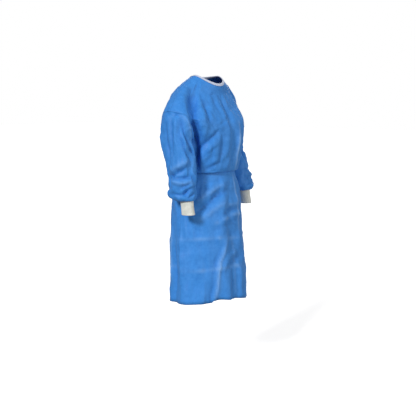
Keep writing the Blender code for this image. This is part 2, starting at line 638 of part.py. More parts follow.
def belt_knot(body, around):
    """A flat knot: a rounded block, pulled down at the middle of its top and flat underneath."""
    width, depth, height = KNOT_SIZE
    row = body.row_of("waist_low")
    seat = body.ring(row, [around], CLOTH_WALL / 2 + LAY_GAP * 2 + TRIM_WALL, flap=LEFT)[0]
    knot = bmesh.new()
    bmesh.ops.create_cube(knot, size=1.0)
    bmesh.ops.subdivide_edges(knot, edges=knot.edges, cuts=2, use_grid_fill=True)
    for vertex in knot.verts:
        x, y, z = vertex.co * 2
        rounding = math.sqrt(max(0.0, 1 - KNOT_ROUNDING * (x * x + z * z)))
        pulled = 1 - KNOT_PULL * (1 - abs(x)) * max(0.0, z)
        vertex.co.x = seat[0] + 0.5 * width * x * (1 - KNOT_PINCH * z * z)
        vertex.co.y = seat[1] + 0.5 * depth * (1 + y * rounding)
        vertex.co.z = BELT_BOTTOM - KNOT_DROP + 0.5 * height * z * pulled
    return knot


def cuff(side, y_top):
    """A knitted tube whose top is sewn into the gathered end of the sleeve."""
    centre_x = side * SLEEVE_RINGS[-1].centre_x
    z_top = SLEEVE_RINGS[-1].z + CUFF_TUCK
    turns = np.linspace(0.0, 2 * math.pi, CUFF_SIDES, endpoint=False)
    around = np.stack([side * np.cos(turns), -np.sin(turns), np.zeros_like(turns)], axis=-1)
    rings = []
    for step in range(CUFF_ROWS + 1):
        share = step / CUFF_ROWS
        radius = CUFF_RADIUS + CUFF_WAIST * math.cos(2 * math.pi * share)
        centre = np.array([centre_x, y_top - CUFF_LEAN * share, z_top - CUFF_LENGTH * share])
        rings.append([centre + around * (radius + half) for half in (KNIT_WALL / 2, -KNIT_WALL / 2)])
    wall = [outer for outer, inner in rings] + [inner for outer, inner in reversed(rings)]
    return lofted(wall, closed=True)


def skin_row_normals(skin, body):
    """The skin's own normals at the body's rows, facing outwards."""
    count = len(body.around)
    skin.verts.ensure_lookup_table()
    normals = np.array([skin.verts[i].normal[:] for i in range(2 * count)])
    return normals.reshape(2, count, 3)


def main():
    clear_scene()
    gown = bpy.data.collections.new("surgical_gown")
    bpy.context.scene.collection.children.link(gown)
    blue = material("blue_nonwoven", BLUE_NONWOVEN)
    tape = material("blue_tape", BLUE_TAPE)
    pale = material("pale_binding", PALE_BINDING)
    knit = material("white_knit", WHITE_KNIT)
    hook = material("white_hook_tape", WHITE_HOOK_TAPE)

    body = Body()
    skin, panels = skin_of_cloth(body)
    for index, name in enumerate(panels):
        faces = [face for face in skin.faces if face.material_index == index]
        add_object(name, walled(faces, CLOTH_WALL, SEAM_GAP), blue, gown)

    add_object("neck_binding", neck_binding(body, skin_row_normals(skin, body)), pale, gown)
    add_object("neck_fastener", neck_fastener(body), hook, gown)
    add_object("cuff_right", cuff(RIGHT, SLEEVE_RINGS[-1].right_y), knit, gown)
    add_object("cuff_left", cuff(LEFT, SLEEVE_RINGS[-1].left_y), knit, gown)
    add_object("belt", belt_ring(body), tape, gown)
    add_object("belt_knot", belt_knot(body, 1.0), tape, gown)
    for end in BELT_ENDS:
        add_object(end.name, belt_end(body, end), tape, gown)
    skin.free()


main()
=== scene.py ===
import math

import bmesh
import bpy
import numpy as np
from mathutils import Matrix, Vector, noise
from mathutils.bvhtree import BVHTree


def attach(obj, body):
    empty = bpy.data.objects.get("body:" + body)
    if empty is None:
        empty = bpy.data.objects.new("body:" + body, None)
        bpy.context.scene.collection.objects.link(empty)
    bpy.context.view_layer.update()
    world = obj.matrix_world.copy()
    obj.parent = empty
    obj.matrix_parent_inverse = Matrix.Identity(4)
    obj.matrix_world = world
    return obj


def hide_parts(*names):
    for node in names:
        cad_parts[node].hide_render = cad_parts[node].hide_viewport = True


# A worn surgical gown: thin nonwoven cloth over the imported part, its knitted cuffs, neck binding,
# hook tab and tied belt. Metres, +Z up, the gown faces -Y and the wearer's left is +X.

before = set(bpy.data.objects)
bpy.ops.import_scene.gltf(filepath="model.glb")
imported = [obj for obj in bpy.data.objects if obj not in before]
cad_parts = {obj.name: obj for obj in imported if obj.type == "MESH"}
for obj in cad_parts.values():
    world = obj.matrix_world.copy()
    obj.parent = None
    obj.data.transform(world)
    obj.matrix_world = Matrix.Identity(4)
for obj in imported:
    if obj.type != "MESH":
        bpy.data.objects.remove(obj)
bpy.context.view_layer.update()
bpy.context.scene.view_settings.view_transform = "Standard"
print("packed frame loaded")


# Small helpers

def fromHex(code):
    # sRGB hex to the linear colour that shader sockets take
    parts = [int(code[i:i + 2], 16) / 255 for i in (1, 3, 5)]
    return [p / 12.92 if p <= 0.04045 else ((p + 0.055) / 1.055) ** 2.4 for p in parts] + [1.0]


def addNode(tree, kind, settings=None, links=None):
    node = tree.nodes.new(kind)
    for name, value in (settings or {}).items():
        if hasattr(node, name):
            setattr(node, name, value)
        else:
            node.inputs[name].default_value = value
    for name, socket in (links or {}).items():
        tree.links.new(socket, node.inputs[name])
    return node


def newMaterial(name, settings):
    # Values that are the same all over sit on the shader's own sockets
    made = bpy.data.materials.new(name)
    made.use_nodes = True
    shader = made.node_tree.nodes["Principled BSDF"]
    for socket, value in settings.items():
        shader.inputs[socket].default_value = value
    return made, made.node_tree, shader


def colourRamp(tree, factor, stops):
    ramp = addNode(tree, "ShaderNodeValToRGB", links={"Fac": factor})
    elements = ramp.color_ramp.elements
    for i, (place, code) in enumerate(stops):
        element = elements[i] if i < 2 else elements.new(place)
        element.position = place
        element.color = fromHex(code)
    return ramp


def smoothStep(value):
    value = np.clip(value, 0.0, 1.0)
    return value * value * (3.0 - 2.0 * value)


def cadCopy(node):
    # The node's triangles as one merged mesh
    shape = bmesh.new()
    shape.from_mesh(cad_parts[node].data)
    bmesh.ops.remove_doubles(shape, verts=shape.verts, dist=1e-5)
    return shape


def joinQuads(shape):
    bmesh.ops.join_triangles(
        shape, faces=shape.faces, angle_face_threshold=math.pi, angle_shape_threshold=math.pi
    )


def finishedObject(name, mesh, material):
    mesh.materials.clear()
    mesh.materials.append(material)
    mesh.polygons.foreach_set("material_index", np.zeros(len(mesh.polygons), dtype=np.int32))
    mesh.shade_smooth()
    obj = bpy.data.objects.new(name, mesh)
    bpy.context.scene.collection.objects.link(obj)
    return obj


def fromBmesh(name, shape, material):
    mesh = bpy.data.meshes.new(name)
    shape.to_mesh(mesh)
    shape.free()
    return finishedObject(name, mesh, material)


def evaluatedMesh(obj):
    mesh = bpy.data.meshes.new_from_object(
        obj.evaluated_get(bpy.context.evaluated_depsgraph_get())
    )
    old = obj.data
    bpy.data.objects.remove(obj)
    bpy.data.meshes.remove(old)
    return mesh


def meshPoints(mesh):
    points = np.empty(len(mesh.vertices) * 3)
    mesh.vertices.foreach_get("co", points)
    return points.reshape(-1, 3)


def setPoints(mesh, points):
    mesh.vertices.foreach_set("co", np.asarray(points, dtype=np.float32).ravel())
    mesh.update()


def meshNormals(mesh):
    normals = np.empty(len(mesh.vertices) * 3)
    mesh.vertices.foreach_get("normal", normals)
    return normals.reshape(-1, 3)


# Materials

clothLook = {
    "base": "#3B88D8", "deep": "#357FD0", "pale": "#428EDE", "crease": "#A6CCF2", "troughShade": "#1B5CAE",
    "roughness": 0.54, "sheen": 0.04, "bondSpacing": 0.0022, "fibreSpacing": 0.0009,
}


def nonwovenCloth():
    # Spunbond polypropylene, thermally point bonded: an even dyed blue with a dry, papery sheen,
    # dimpled by the bond points and paler where it was folded; the paleness also carries painted highlight
    # on crease crests, and troughs carry painted shade
    made, tree, shader = newMaterial("point bonded nonwoven", {
        "Roughness": clothLook["roughness"], "Sheen Weight": clothLook["sheen"],
        "Sheen Roughness": 0.45, "Specular IOR Level": 0.26, "IOR": 1.49,
    })
    coords = addNode(tree, "ShaderNodeTexCoord")
    place = coords.outputs["Object"]
    # The web's fibres lie unevenly, so the blue clouds over one or two centimetres
    clouds = addNode(tree, "ShaderNodeTexNoise", {"Scale": 60.0, "Detail": 8.0, "Roughness": 0.75},
                     {"Vector": place})
    tone = colourRamp(tree, clouds.outputs["Fac"], [
        (0.34, clothLook["deep"]), (0.66, clothLook["pale"]), (0.50, clothLook["base"]),
    ])
    # Paler along creases: folding whitens the web along packing and handling creases, and painted highlight
    # lies as pale lines along crisp ridge crests and the rim lines
    wearAndHighlightNode = addNode(tree, "ShaderNodeAttribute", {"attribute_name": "creaseWear"})
    coloured = addNode(tree, "ShaderNodeMix", {"data_type": "RGBA"})
    tree.links.new(wearAndHighlightNode.outputs["Fac"], coloured.inputs[0])
    tree.links.new(tone.outputs["Color"], coloured.inputs[6])
    coloured.inputs[7].default_value = fromHex(clothLook["crease"])
    # Painted shade: the blue is deeper in crease troughs, the more so the deeper the trough
    troughShade = addNode(tree, "ShaderNodeAttribute", {"attribute_name": "paintedTroughShade"})
    troughShaded = addNode(tree, "ShaderNodeMix", {"data_type": "RGBA"})
    tree.links.new(troughShade.outputs["Fac"], troughShaded.inputs[0])
    tree.links.new(coloured.outputs[2], troughShaded.inputs[6])
    troughShaded.inputs[7].default_value = fromHex(clothLook["troughShade"])
    tree.links.new(troughShaded.outputs[2], shader.inputs["Base Color"])
    # Bond points are about 1 mm apart, drawn at 2.2 mm so that they show
    bonds = addNode(tree, "ShaderNodeTexVoronoi",
                    {"Scale": 1 / clothLook["bondSpacing"], "Randomness": 0.25},
                    {"Vector": place})
    fibres = addNode(tree, "ShaderNodeTexNoise",
                     {"Scale": 1 / clothLook["fibreSpacing"], "Detail": 3.0, "Roughness": 0.7},
                     {"Vector": place})
    crinkle = addNode(tree, "ShaderNodeTexNoise",
                      {"Scale": 130.0, "Detail": 5.0, "Roughness": 0.62, "Distortion": 0.6},
                      {"Vector": place})
    creased = addNode(tree, "ShaderNodeBump", {"Strength": 0.08, "Distance": 0.0012},
                      {"Height": crinkle.outputs["Fac"]})
    fuzzy = addNode(tree, "ShaderNodeBump", {"Strength": 0.08, "Distance": 0.0003},
                    {"Height": fibres.outputs["Fac"], "Normal": creased.outputs["Normal"]})
    dimpled = addNode(tree, "ShaderNodeBump", {"Strength": 0.10, "Distance": 0.0004},
                      {"Height": bonds.outputs["Distance"], "Normal": fuzzy.outputs["Normal"]})
    tree.links.new(dimpled.outputs["Normal"], shader.inputs["Normal"])
    return made


def ribKnit():
    # Polyester rib knit, undyed: a soft greyish white, matt, with rows of small loops on its ribs
    made, tree, shader = newMaterial("white rib knit", {
        "Roughness": 0.88, "Sheen Weight": 0.4, "Sheen Roughness": 0.6, "Specular IOR Level": 0.25,
    })
    coords = addNode(tree, "ShaderNodeTexCoord")
    place = coords.outputs["Object"]
    clouds = addNode(tree, "ShaderNodeTexNoise", {"Scale": 60.0, "Detail": 3.0}, {"Vector": place})
    tone = colourRamp(tree, clouds.outputs["Fac"], [(0.3, "#D3D5CC"), (0.7, "#E6E7DF")])
    tree.links.new(tone.outputs["Color"], shader.inputs["Base Color"])
    # Loops are 1.2 mm high
    loops = addNode(tree, "ShaderNodeTexWave",
                    {"bands_direction": "Z", "Scale": 1 / (0.0012 * 2 * math.pi) * 2.0,
                     "Distortion": 1.5, "Detail": 2.0, "Detail Scale": 2.0}, {"Vector": place})
    fuzz = addNode(tree, "ShaderNodeTexNoise", {"Scale": 1400.0, "Detail": 2.0}, {"Vector": place})
    looped = addNode(tree, "ShaderNodeBump", {"Strength": 0.5, "Distance": 0.0004},
                     {"Height": loops.outputs["Fac"]})
    fuzzy = addNode(tree, "ShaderNodeBump", {"Strength": 0.4, "Distance": 0.0002},
                    {"Height": fuzz.outputs["Fac"], "Normal": looped.outputs["Normal"]})
    tree.links.new(fuzzy.outputs["Normal"], shader.inputs["Normal"])
    return made


def bindingTape():
    # Folded polyester binding: pale lavender white, smooth, with a fine close weave
    made, tree, shader = newMaterial("pale binding tape", {
        "Roughness": 0.62, "Sheen Weight": 0.2, "Specular IOR Level": 0.35,
    })
    place = addNode(tree, "ShaderNodeTexCoord").outputs["Object"]
    clouds = addNode(tree, "ShaderNodeTexNoise", {"Scale": 90.0, "Detail": 3.0}, {"Vector": place})
    tone = colourRamp(tree, clouds.outputs["Fac"], [(0.3, "#BAC3DB"), (0.7, "#CFD6E9")])
    tree.links.new(tone.outputs["Color"], shader.inputs["Base Color"])
    # Threads are 0.4 mm apart, drawn at 0.8 mm so that they show
    weave = addNode(tree, "ShaderNodeTexVoronoi", {"Scale": 1250.0, "Randomness": 0.35},
                    {"Vector": place})
    woven = addNode(tree, "ShaderNodeBump", {"Strength": 0.35, "Distance": 0.0002},
                    {"Height": weave.outputs["Distance"]})
    tree.links.new(woven.outputs["Normal"], shader.inputs["Normal"])
    return made


def beltTape():
    # The belt is a folded strip of the gown's own nonwoven, a little deeper in colour where doubled
    made, tree, shader = newMaterial("folded nonwoven tape", {
        "Roughness": 0.55, "Sheen Weight": 0.2, "Specular IOR Level": 0.35,
    })
    place = addNode(tree, "ShaderNodeTexCoord").outputs["Object"]
    clouds = addNode(tree, "ShaderNodeTexNoise", {"Scale": 70.0, "Detail": 4.0}, {"Vector": place})
    tone = colourRamp(tree, clouds.outputs["Fac"], [(0.3, "#2C6FC8"), (0.7, "#4489DD")])
    tree.links.new(tone.outputs["Color"], shader.inputs["Base Color"])
    bonds = addNode(tree, "ShaderNodeTexVoronoi",
                    {"Scale": 1 / clothLook["bondSpacing"], "Randomness": 0.25}, {"Vector": place})
    dimpled = addNode(tree, "ShaderNodeBump", {"Strength": 0.4, "Distance": 0.0004},
                      {"Height": bonds.outputs["Distance"]})
    tree.links.new(dimpled.outputs["Normal"], shader.inputs["Normal"])
    return made


def hookTape():
    # Moulded nylon hook tape: milky white with a hard, slightly glossy nap
    made, tree, shader = newMaterial("moulded hook tape", {
        "Roughness": 0.42, "Specular IOR Level": 0.5, "IOR": 1.53,
    })
    place = addNode(tree, "ShaderNodeTexCoord").outputs["Object"]
    clouds = addNode(tree, "ShaderNodeTexNoise", {"Scale": 200.0, "Detail": 2.0}, {"Vector": place})
    tone = colourRamp(tree, clouds.outputs["Fac"], [(0.3, "#D6DAE2"), (0.7, "#EBEEF3")])
    tree.links.new(tone.outputs["Color"], shader.inputs["Base Color"])
    # Hooks are 1.5 mm apart
    hooks = addNode(tree, "ShaderNodeTexVoronoi", {"Scale": 660.0, "Randomness": 0.15},
                    {"Vector": place})
    raised = addNode(tree, "ShaderNodeBump", {"Strength": 0.8, "Distance": 0.0006, "invert": True},
                     {"Height": hooks.outputs["Distance"]})
    tree.links.new(raised.outputs["Normal"], shader.inputs["Normal"])
    return made


nonwoven = nonwovenCloth()
knit = ribKnit()
binding = bindingTape()
tape = beltTape()
hook = hookTape()
print("materials made")


# The gown's cloth

gown = {
    "panels": ["front", "back_left", "back_right", "sleeve_left", "sleeve_right"],
    "cutEdge": 0.0018,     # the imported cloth's cut edges are 1.5 mm
    "seamGap": 0.0012,     # panels lie 0.3 mm apart at their seams
    "wall": 0.0008,
    "axisY": -0.010,
    "fineWidth": 0.0135,
}


def outerSheet(name):
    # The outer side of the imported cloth: its cut edges and its inner side are taken off
    sheet = cadCopy(name)
    cut = [f for f in sheet.faces if min(e.calc_length() for e in f.edges) < gown["cutEdge"]]
    bmesh.ops.delete(sheet, geom=cut, context="FACES")
    islands, left = [], set(sheet.faces)
    while left:
        island, edge = set(), [left.pop()]
        while edge:
            face = edge.pop()
            island.add(face)
            for side in face.edges:
                for other in side.link_faces:
                    if other in left:
                        left.remove(other)
                        edge.append(other)
        islands.append(island)
    islands.sort(key=lambda island: -sum(f.calc_area() for f in island))
    inner = [face for island in islands[1:] for face in island]
    print(name, "sheet islands", [len(island) for island in islands])
    bmesh.ops.delete(sheet, geom=inner, context="FACES")
    joinQuads(sheet)
    return sheet


def wholeSkin():
    skin = bmesh.new()
    for index, name in enumerate(gown["panels"]):
        sheet = outerSheet(name)
        for face in sheet.faces:
            face.material_index = index
        mesh = bpy.data.meshes.new("sheet")
        sheet.to_mesh(mesh)
        sheet.free()
        skin.from_mesh(mesh)
        bpy.data.meshes.remove(mesh)
    rim = [v for v in skin.verts if v.is_boundary]
    bmesh.ops.remove_doubles(skin, verts=rim, dist=gown["seamGap"])
    print("open edges after sewing", sum(e.is_boundary for e in skin.edges))
    mesh = bpy.data.meshes.new("skin")
    skin.to_mesh(mesh)
    skin.free()
    return rounded(mesh)


def rounded(mesh):
    # Each face becomes four, on a smooth surface through them
    obj = bpy.data.objects.new("skin", mesh)
    bpy.context.scene.collection.objects.link(obj)
    rounder = obj.modifiers.new("rounder", "SUBSURF")
    rounder.levels = rounder.render_levels = 1
    rounder.boundary_smooth = "PRESERVE_CORNERS"
    bpy.context.view_layer.update()
    return evaluatedMesh(obj)


# The line down the middle of each arm: height, distance from the middle, and place front to back
armLine = {
    "sleeve_right": [(-0.253, 0.2580, -0.026), (-0.350, 0.2525, -0.046),
                     (-0.462, 0.2520, -0.054), (-0.550, 0.2500, -0.077)],
    "sleeve_left": [(-0.253, 0.2580, 0.040), (-0.350, 0.2525, 0.028),
                    (-0.462, 0.2520, -0.020), (-0.550, 0.2500, -0.055)],
}

# Creases and folds. Each is a path of (degrees round the body or arm, height), its half width and
# its height in metres, troughs below zero, and how crisp it is from 0 to 1. Round the body 0 is the
# front and 90 the wearer's left; round an arm 0 is the outside and 90 its front.
# Raised creases with crisp above 0.85 carry a pale painted highlight line along their crest, and troughs
# carry painted shade
bodyCreases = [
    # name, path, width, height, crisp
    ("armholeGroove", [(-79, -0.072), (-76, -0.1), (-71, -0.144), (-67, -0.19), (-68, -0.25),
         (-70, -0.3), (-69, -0.42)], 0.0125, -0.03, 0.2),
    ("armholeGrooveLeft", [(79, -0.072), (76, -0.105), (70, -0.15), (67, -0.2), (68, -0.26),
         (70, -0.31), (69, -0.41)], 0.0125, -0.026, 0.2),
    ("neckDragA", [(-68, -0.087), (-56, -0.148), (-50, -0.205), (-42, -0.24)], 0.01, -0.009, 0.4),
    ("neckDragB", [(-46, -0.085), (-32, -0.135), (-20, -0.19)], 0.013, -0.006, 0.2),
    ("neckDragC", [(-3, -0.109), (10, -0.154), (14, -0.2)], 0.013, -0.006, 0.2),
    ("neckRidge", [(-72, -0.12), (-62, -0.17), (-56, -0.235), (-58, -0.28)], 0.013, 0.008, 0.3),
    ("chestRidge", [(-20, -0.105), (-8, -0.17), (-8, -0.25)], 0.02, 0.004, 0.1),
    ("chestTrough", [(0, -0.14), (6, -0.2), (4, -0.262)], 0.014, -0.003, 0.0),
    ("facetTrough", [(-72, -0.385), (-69, -0.352), (-64, -0.325), (-52, -0.298), (-44, -0.276),
         (-33, -0.248)], 0.012, -0.013, 0.5),
    ("facetRidge", [(-66, -0.395), (-54, -0.345), (-42, -0.308), (-33, -0.285)], 0.022, 0.012, 0.3),
    ("facetEdge", [(-26, -0.268), (-26, -0.308), (-28, -0.361), (-33, -0.411)], 0.01, -0.009, 0.4),
    ("facetStroke", [(-48, -0.3), (-45, -0.35), (-48, -0.4)], 0.01, -0.005, 0.6),
    ("lowFacet", [(-64, -0.432), (-46, -0.414), (-28, -0.392)], 0.012, -0.009, 0.5),
    # rimLeft: its pale crest line is a painted highlight, set where the right outline catches rim light
    ("rimLeft", [(34, -0.215), (27, -0.29), (25, -0.37), (27, -0.438)], 0.009, 0.0065, 1.0),
    ("rimTrough", [(18, -0.26), (15, -0.33), (16, -0.4)], 0.014, -0.0042, 0.0),
    ("frontTrough", [(12, -0.272), (4, -0.33), (8, -0.41)], 0.018, -0.0032, 0.0),
    ("frontRidge", [(-10, -0.31), (-14, -0.36), (-12, -0.41)], 0.016, 0.003, 0.0),
    ("sideTroughLeft", [(66, -0.3), (62, -0.36), (58, -0.43)], 0.013, -0.008, 0.4),
    ("skirtRidgeA", [(-68, -0.556), (-52, -0.532), (-38, -0.512), (-24, -0.497)], 0.012, 0.0126, 0.6),
    ("skirtTroughA", [(-72, -0.625), (-58, -0.592), (-42, -0.556), (-24, -0.532),
         (-6, -0.52)], 0.013, -0.0135, 0.5),
    ("skirtRidgeB", [(-66, -0.655), (-50, -0.618), (-34, -0.592), (-16, -0.575)], 0.013, 0.0096, 0.5),
    # lightCreaseA and lightCreaseB: their pale crest lines are painted highlight
    ("lightCreaseA", [(-18, -0.6), (-4, -0.594), (10, -0.597), (24, -0.59)], 0.0075, 0.006, 0.9),
    ("lightCreaseB", [(-42, -0.668), (-28, -0.655), (-12, -0.65), (8, -0.642),
         (40, -0.64)], 0.0075, 0.006, 0.9),
    ("skirtPanel", [(-22, -0.52), (-25, -0.62), (-27, -0.72), (-24, -0.8)], 0.026, 0.01, 0.0),
    ("skirtShade", [(-8, -0.56), (-4, -0.68), (-6, -0.8)], 0.026, -0.007, 0.0),
    ("skirtSpot", [(-50, -0.575), (-38, -0.56), (-30, -0.54)], 0.012, 0.006, 0.3),
    ("skirtStreak", [(-62, -0.52), (-50, -0.505), (-36, -0.488)], 0.01, 0.006, 0.5),
    ("hipTrough", [(-34, -0.64), (-6, -0.618), (30, -0.612)], 0.012, -0.0084, 0.4),
    ("thighTrough", [(-44, -0.7), (-16, -0.676), (24, -0.664)], 0.013, -0.007, 0.4),
    ("handHollow", [(-78, -0.65), (-66, -0.7), (-60, -0.78)], 0.018, -0.006, 0.2),
    ("longRidge", [(-14, -0.725), (-24, -0.78), (-34, -0.84), (-38, -0.9), (-38, -0.965),
         (-42, -1.035)], 0.012, 0.01, 0.6),
    ("longTroughA", [(-30, -0.775), (-42, -0.85), (-47, -0.92)], 0.012, -0.0078, 0.4),
    ("longTrough", [(-43, -0.925), (-47, -0.97), (-50, -1.04)], 0.01, -0.011, 0.6),
    ("longLine", [(-24, -0.79), (-34, -0.85), (-38, -0.93), (-43, -1.02)], 0.0075, 0.0035, 0.9),
    # skirtRim: its pale crest line is a painted highlight, set where the right outline catches rim light
    ("skirtRim", [(27, -0.462), (26, -0.54), (24, -0.64), (25, -0.72)], 0.0085, 0.006, 1.0),
    ("slantCrease", [(-33, -0.874), (-20, -0.848), (-6, -0.82), (18, -0.804)], 0.0085, 0.0078, 0.8),
    ("slantTrough", [(-26, -0.896), (-10, -0.862), (8, -0.84), (26, -0.832)], 0.012, -0.0084, 0.4),
    ("edgeStripA", [(-106, -0.7), (-108, -0.8), (-106, -0.93)], 0.008, 0.009, 0.9),
    ("edgeStripB", [(-98, -0.78), (-97, -0.87), (-96, -0.97)], 0.01, -0.008, 0.5),
    ("edgeStripC", [(-88, -0.69), (-87, -0.8), (-86, -0.89)], 0.01, 0.0075, 0.5),
    ("kneeTrough", [(-72, -0.895), (-69, -0.96), (-71, -1.035)], 0.015, -0.0091, 0.3),
    ("kneeRidge", [(-61, -0.9), (-58, -0.97), (-60, -1.035)], 0.013, 0.007, 0.4),
    ("frontLong", [(10, -0.86), (17, -0.94), (14, -1.035)], 0.013, 0.0072, 0.2),
    ("frontLongTrough", [(-8, -0.89), (-6, -0.96), (-9, -1.035)], 0.013, -0.006, 0.2),
    ("leftLong", [(62, -0.64), (70, -0.78), (74, -0.9)], 0.013, -0.008, 0.4),
    ("leftLongRidge", [(84, -0.7), (90, -0.85), (92, -1.06)], 0.014, 0.008, 0.5),
    # the back is creased in the same way
    ("backDragA", [(-128, -0.085), (-118, -0.16), (-112, -0.23)], 0.012, -0.009, 0.5),
    ("backDragB", [(128, -0.085), (120, -0.16), (113, -0.235)], 0.012, -0.009, 0.5),
    ("backDragC", [(-150, -0.11), (-140, -0.2), (-134, -0.3)], 0.014, -0.008, 0.4),
    ("backDragD", [(146, -0.12), (138, -0.22), (130, -0.31)], 0.014, -0.008, 0.4),
    ("backRidgeA", [(-140, -0.12), (-128, -0.22), (-120, -0.3)], 0.014, 0.006, 0.4),
    ("backRidgeB", [(156, -0.13), (150, -0.23), (140, -0.32)], 0.014, 0.006, 0.4),
    ("backFacet", [(-108, -0.32), (-128, -0.365), (-148, -0.4)], 0.014, -0.01, 0.5),
    ("backFacetB", [(108, -0.315), (124, -0.36), (142, -0.405)], 0.014, -0.01, 0.5),
    ("backFold", [(-165, -0.26), (-156, -0.33), (-158, -0.41)], 0.014, 0.008, 0.4),
    ("seatPullA", [(152, -0.5), (128, -0.54), (106, -0.606)], 0.012, -0.009, 0.5),
    ("seatPullB", [(-152, -0.505), (-130, -0.545), (-108, -0.616)], 0.012, -0.009, 0.5),
    ("seatRidgeA", [(158, -0.53), (134, -0.58), (116, -0.65)], 0.012, 0.007, 0.6),
    ("seatRidgeB", [(-156, -0.545), (-134, -0.6), (-120, -0.68)], 0.012, 0.007, 0.6),
    ("backLongA", [(132, -0.68), (136, -0.82), (134, -1.06)], 0.014, 0.009, 0.5),
    ("backLongB", [(-134, -0.66), (-140, -0.81), (-138, -1.035)], 0.014, -0.009, 0.4),
    ("backLongC", [(-160, -0.7), (-158, -0.85), (-161, -1.04)], 0.013, 0.008, 0.5),
    ("backLongD", [(112, -0.7), (110, -0.88), (114, -1.06)], 0.014, -0.008, 0.4),
]

# It was packed folded: sharp lines across the skirt and down it that have half opened out
packingCreases = [
    ("packMiddle", [(-180, -0.742), (-110, -0.745), (-42, -0.731), (-8, -0.746), (60, -0.75),
         (180, -0.742)], 0.004),
    ("packLow", [(-180, -0.868), (-100, -0.869), (-65, -0.876), (-53, -0.88), (-38, -0.876),
         (60, -0.88), (180, -0.868)], 0.004),
    ("packSkirt", [(1, -0.76), (2, -1.0)], 0.0018),
    ("packBack", [(146, -0.48), (147, -1.03)], 0.0024),
    ("packBackB", [(-146, -0.48), (-147, -1.03)], 0.0024),
    ("packShoulders", [(118, -0.29), (152, -0.286), (178, -0.29)], 0.002),
    ("packShouldersB", [(-118, -0.29), (-152, -0.286), (-178, -0.29)], 0.002),
]

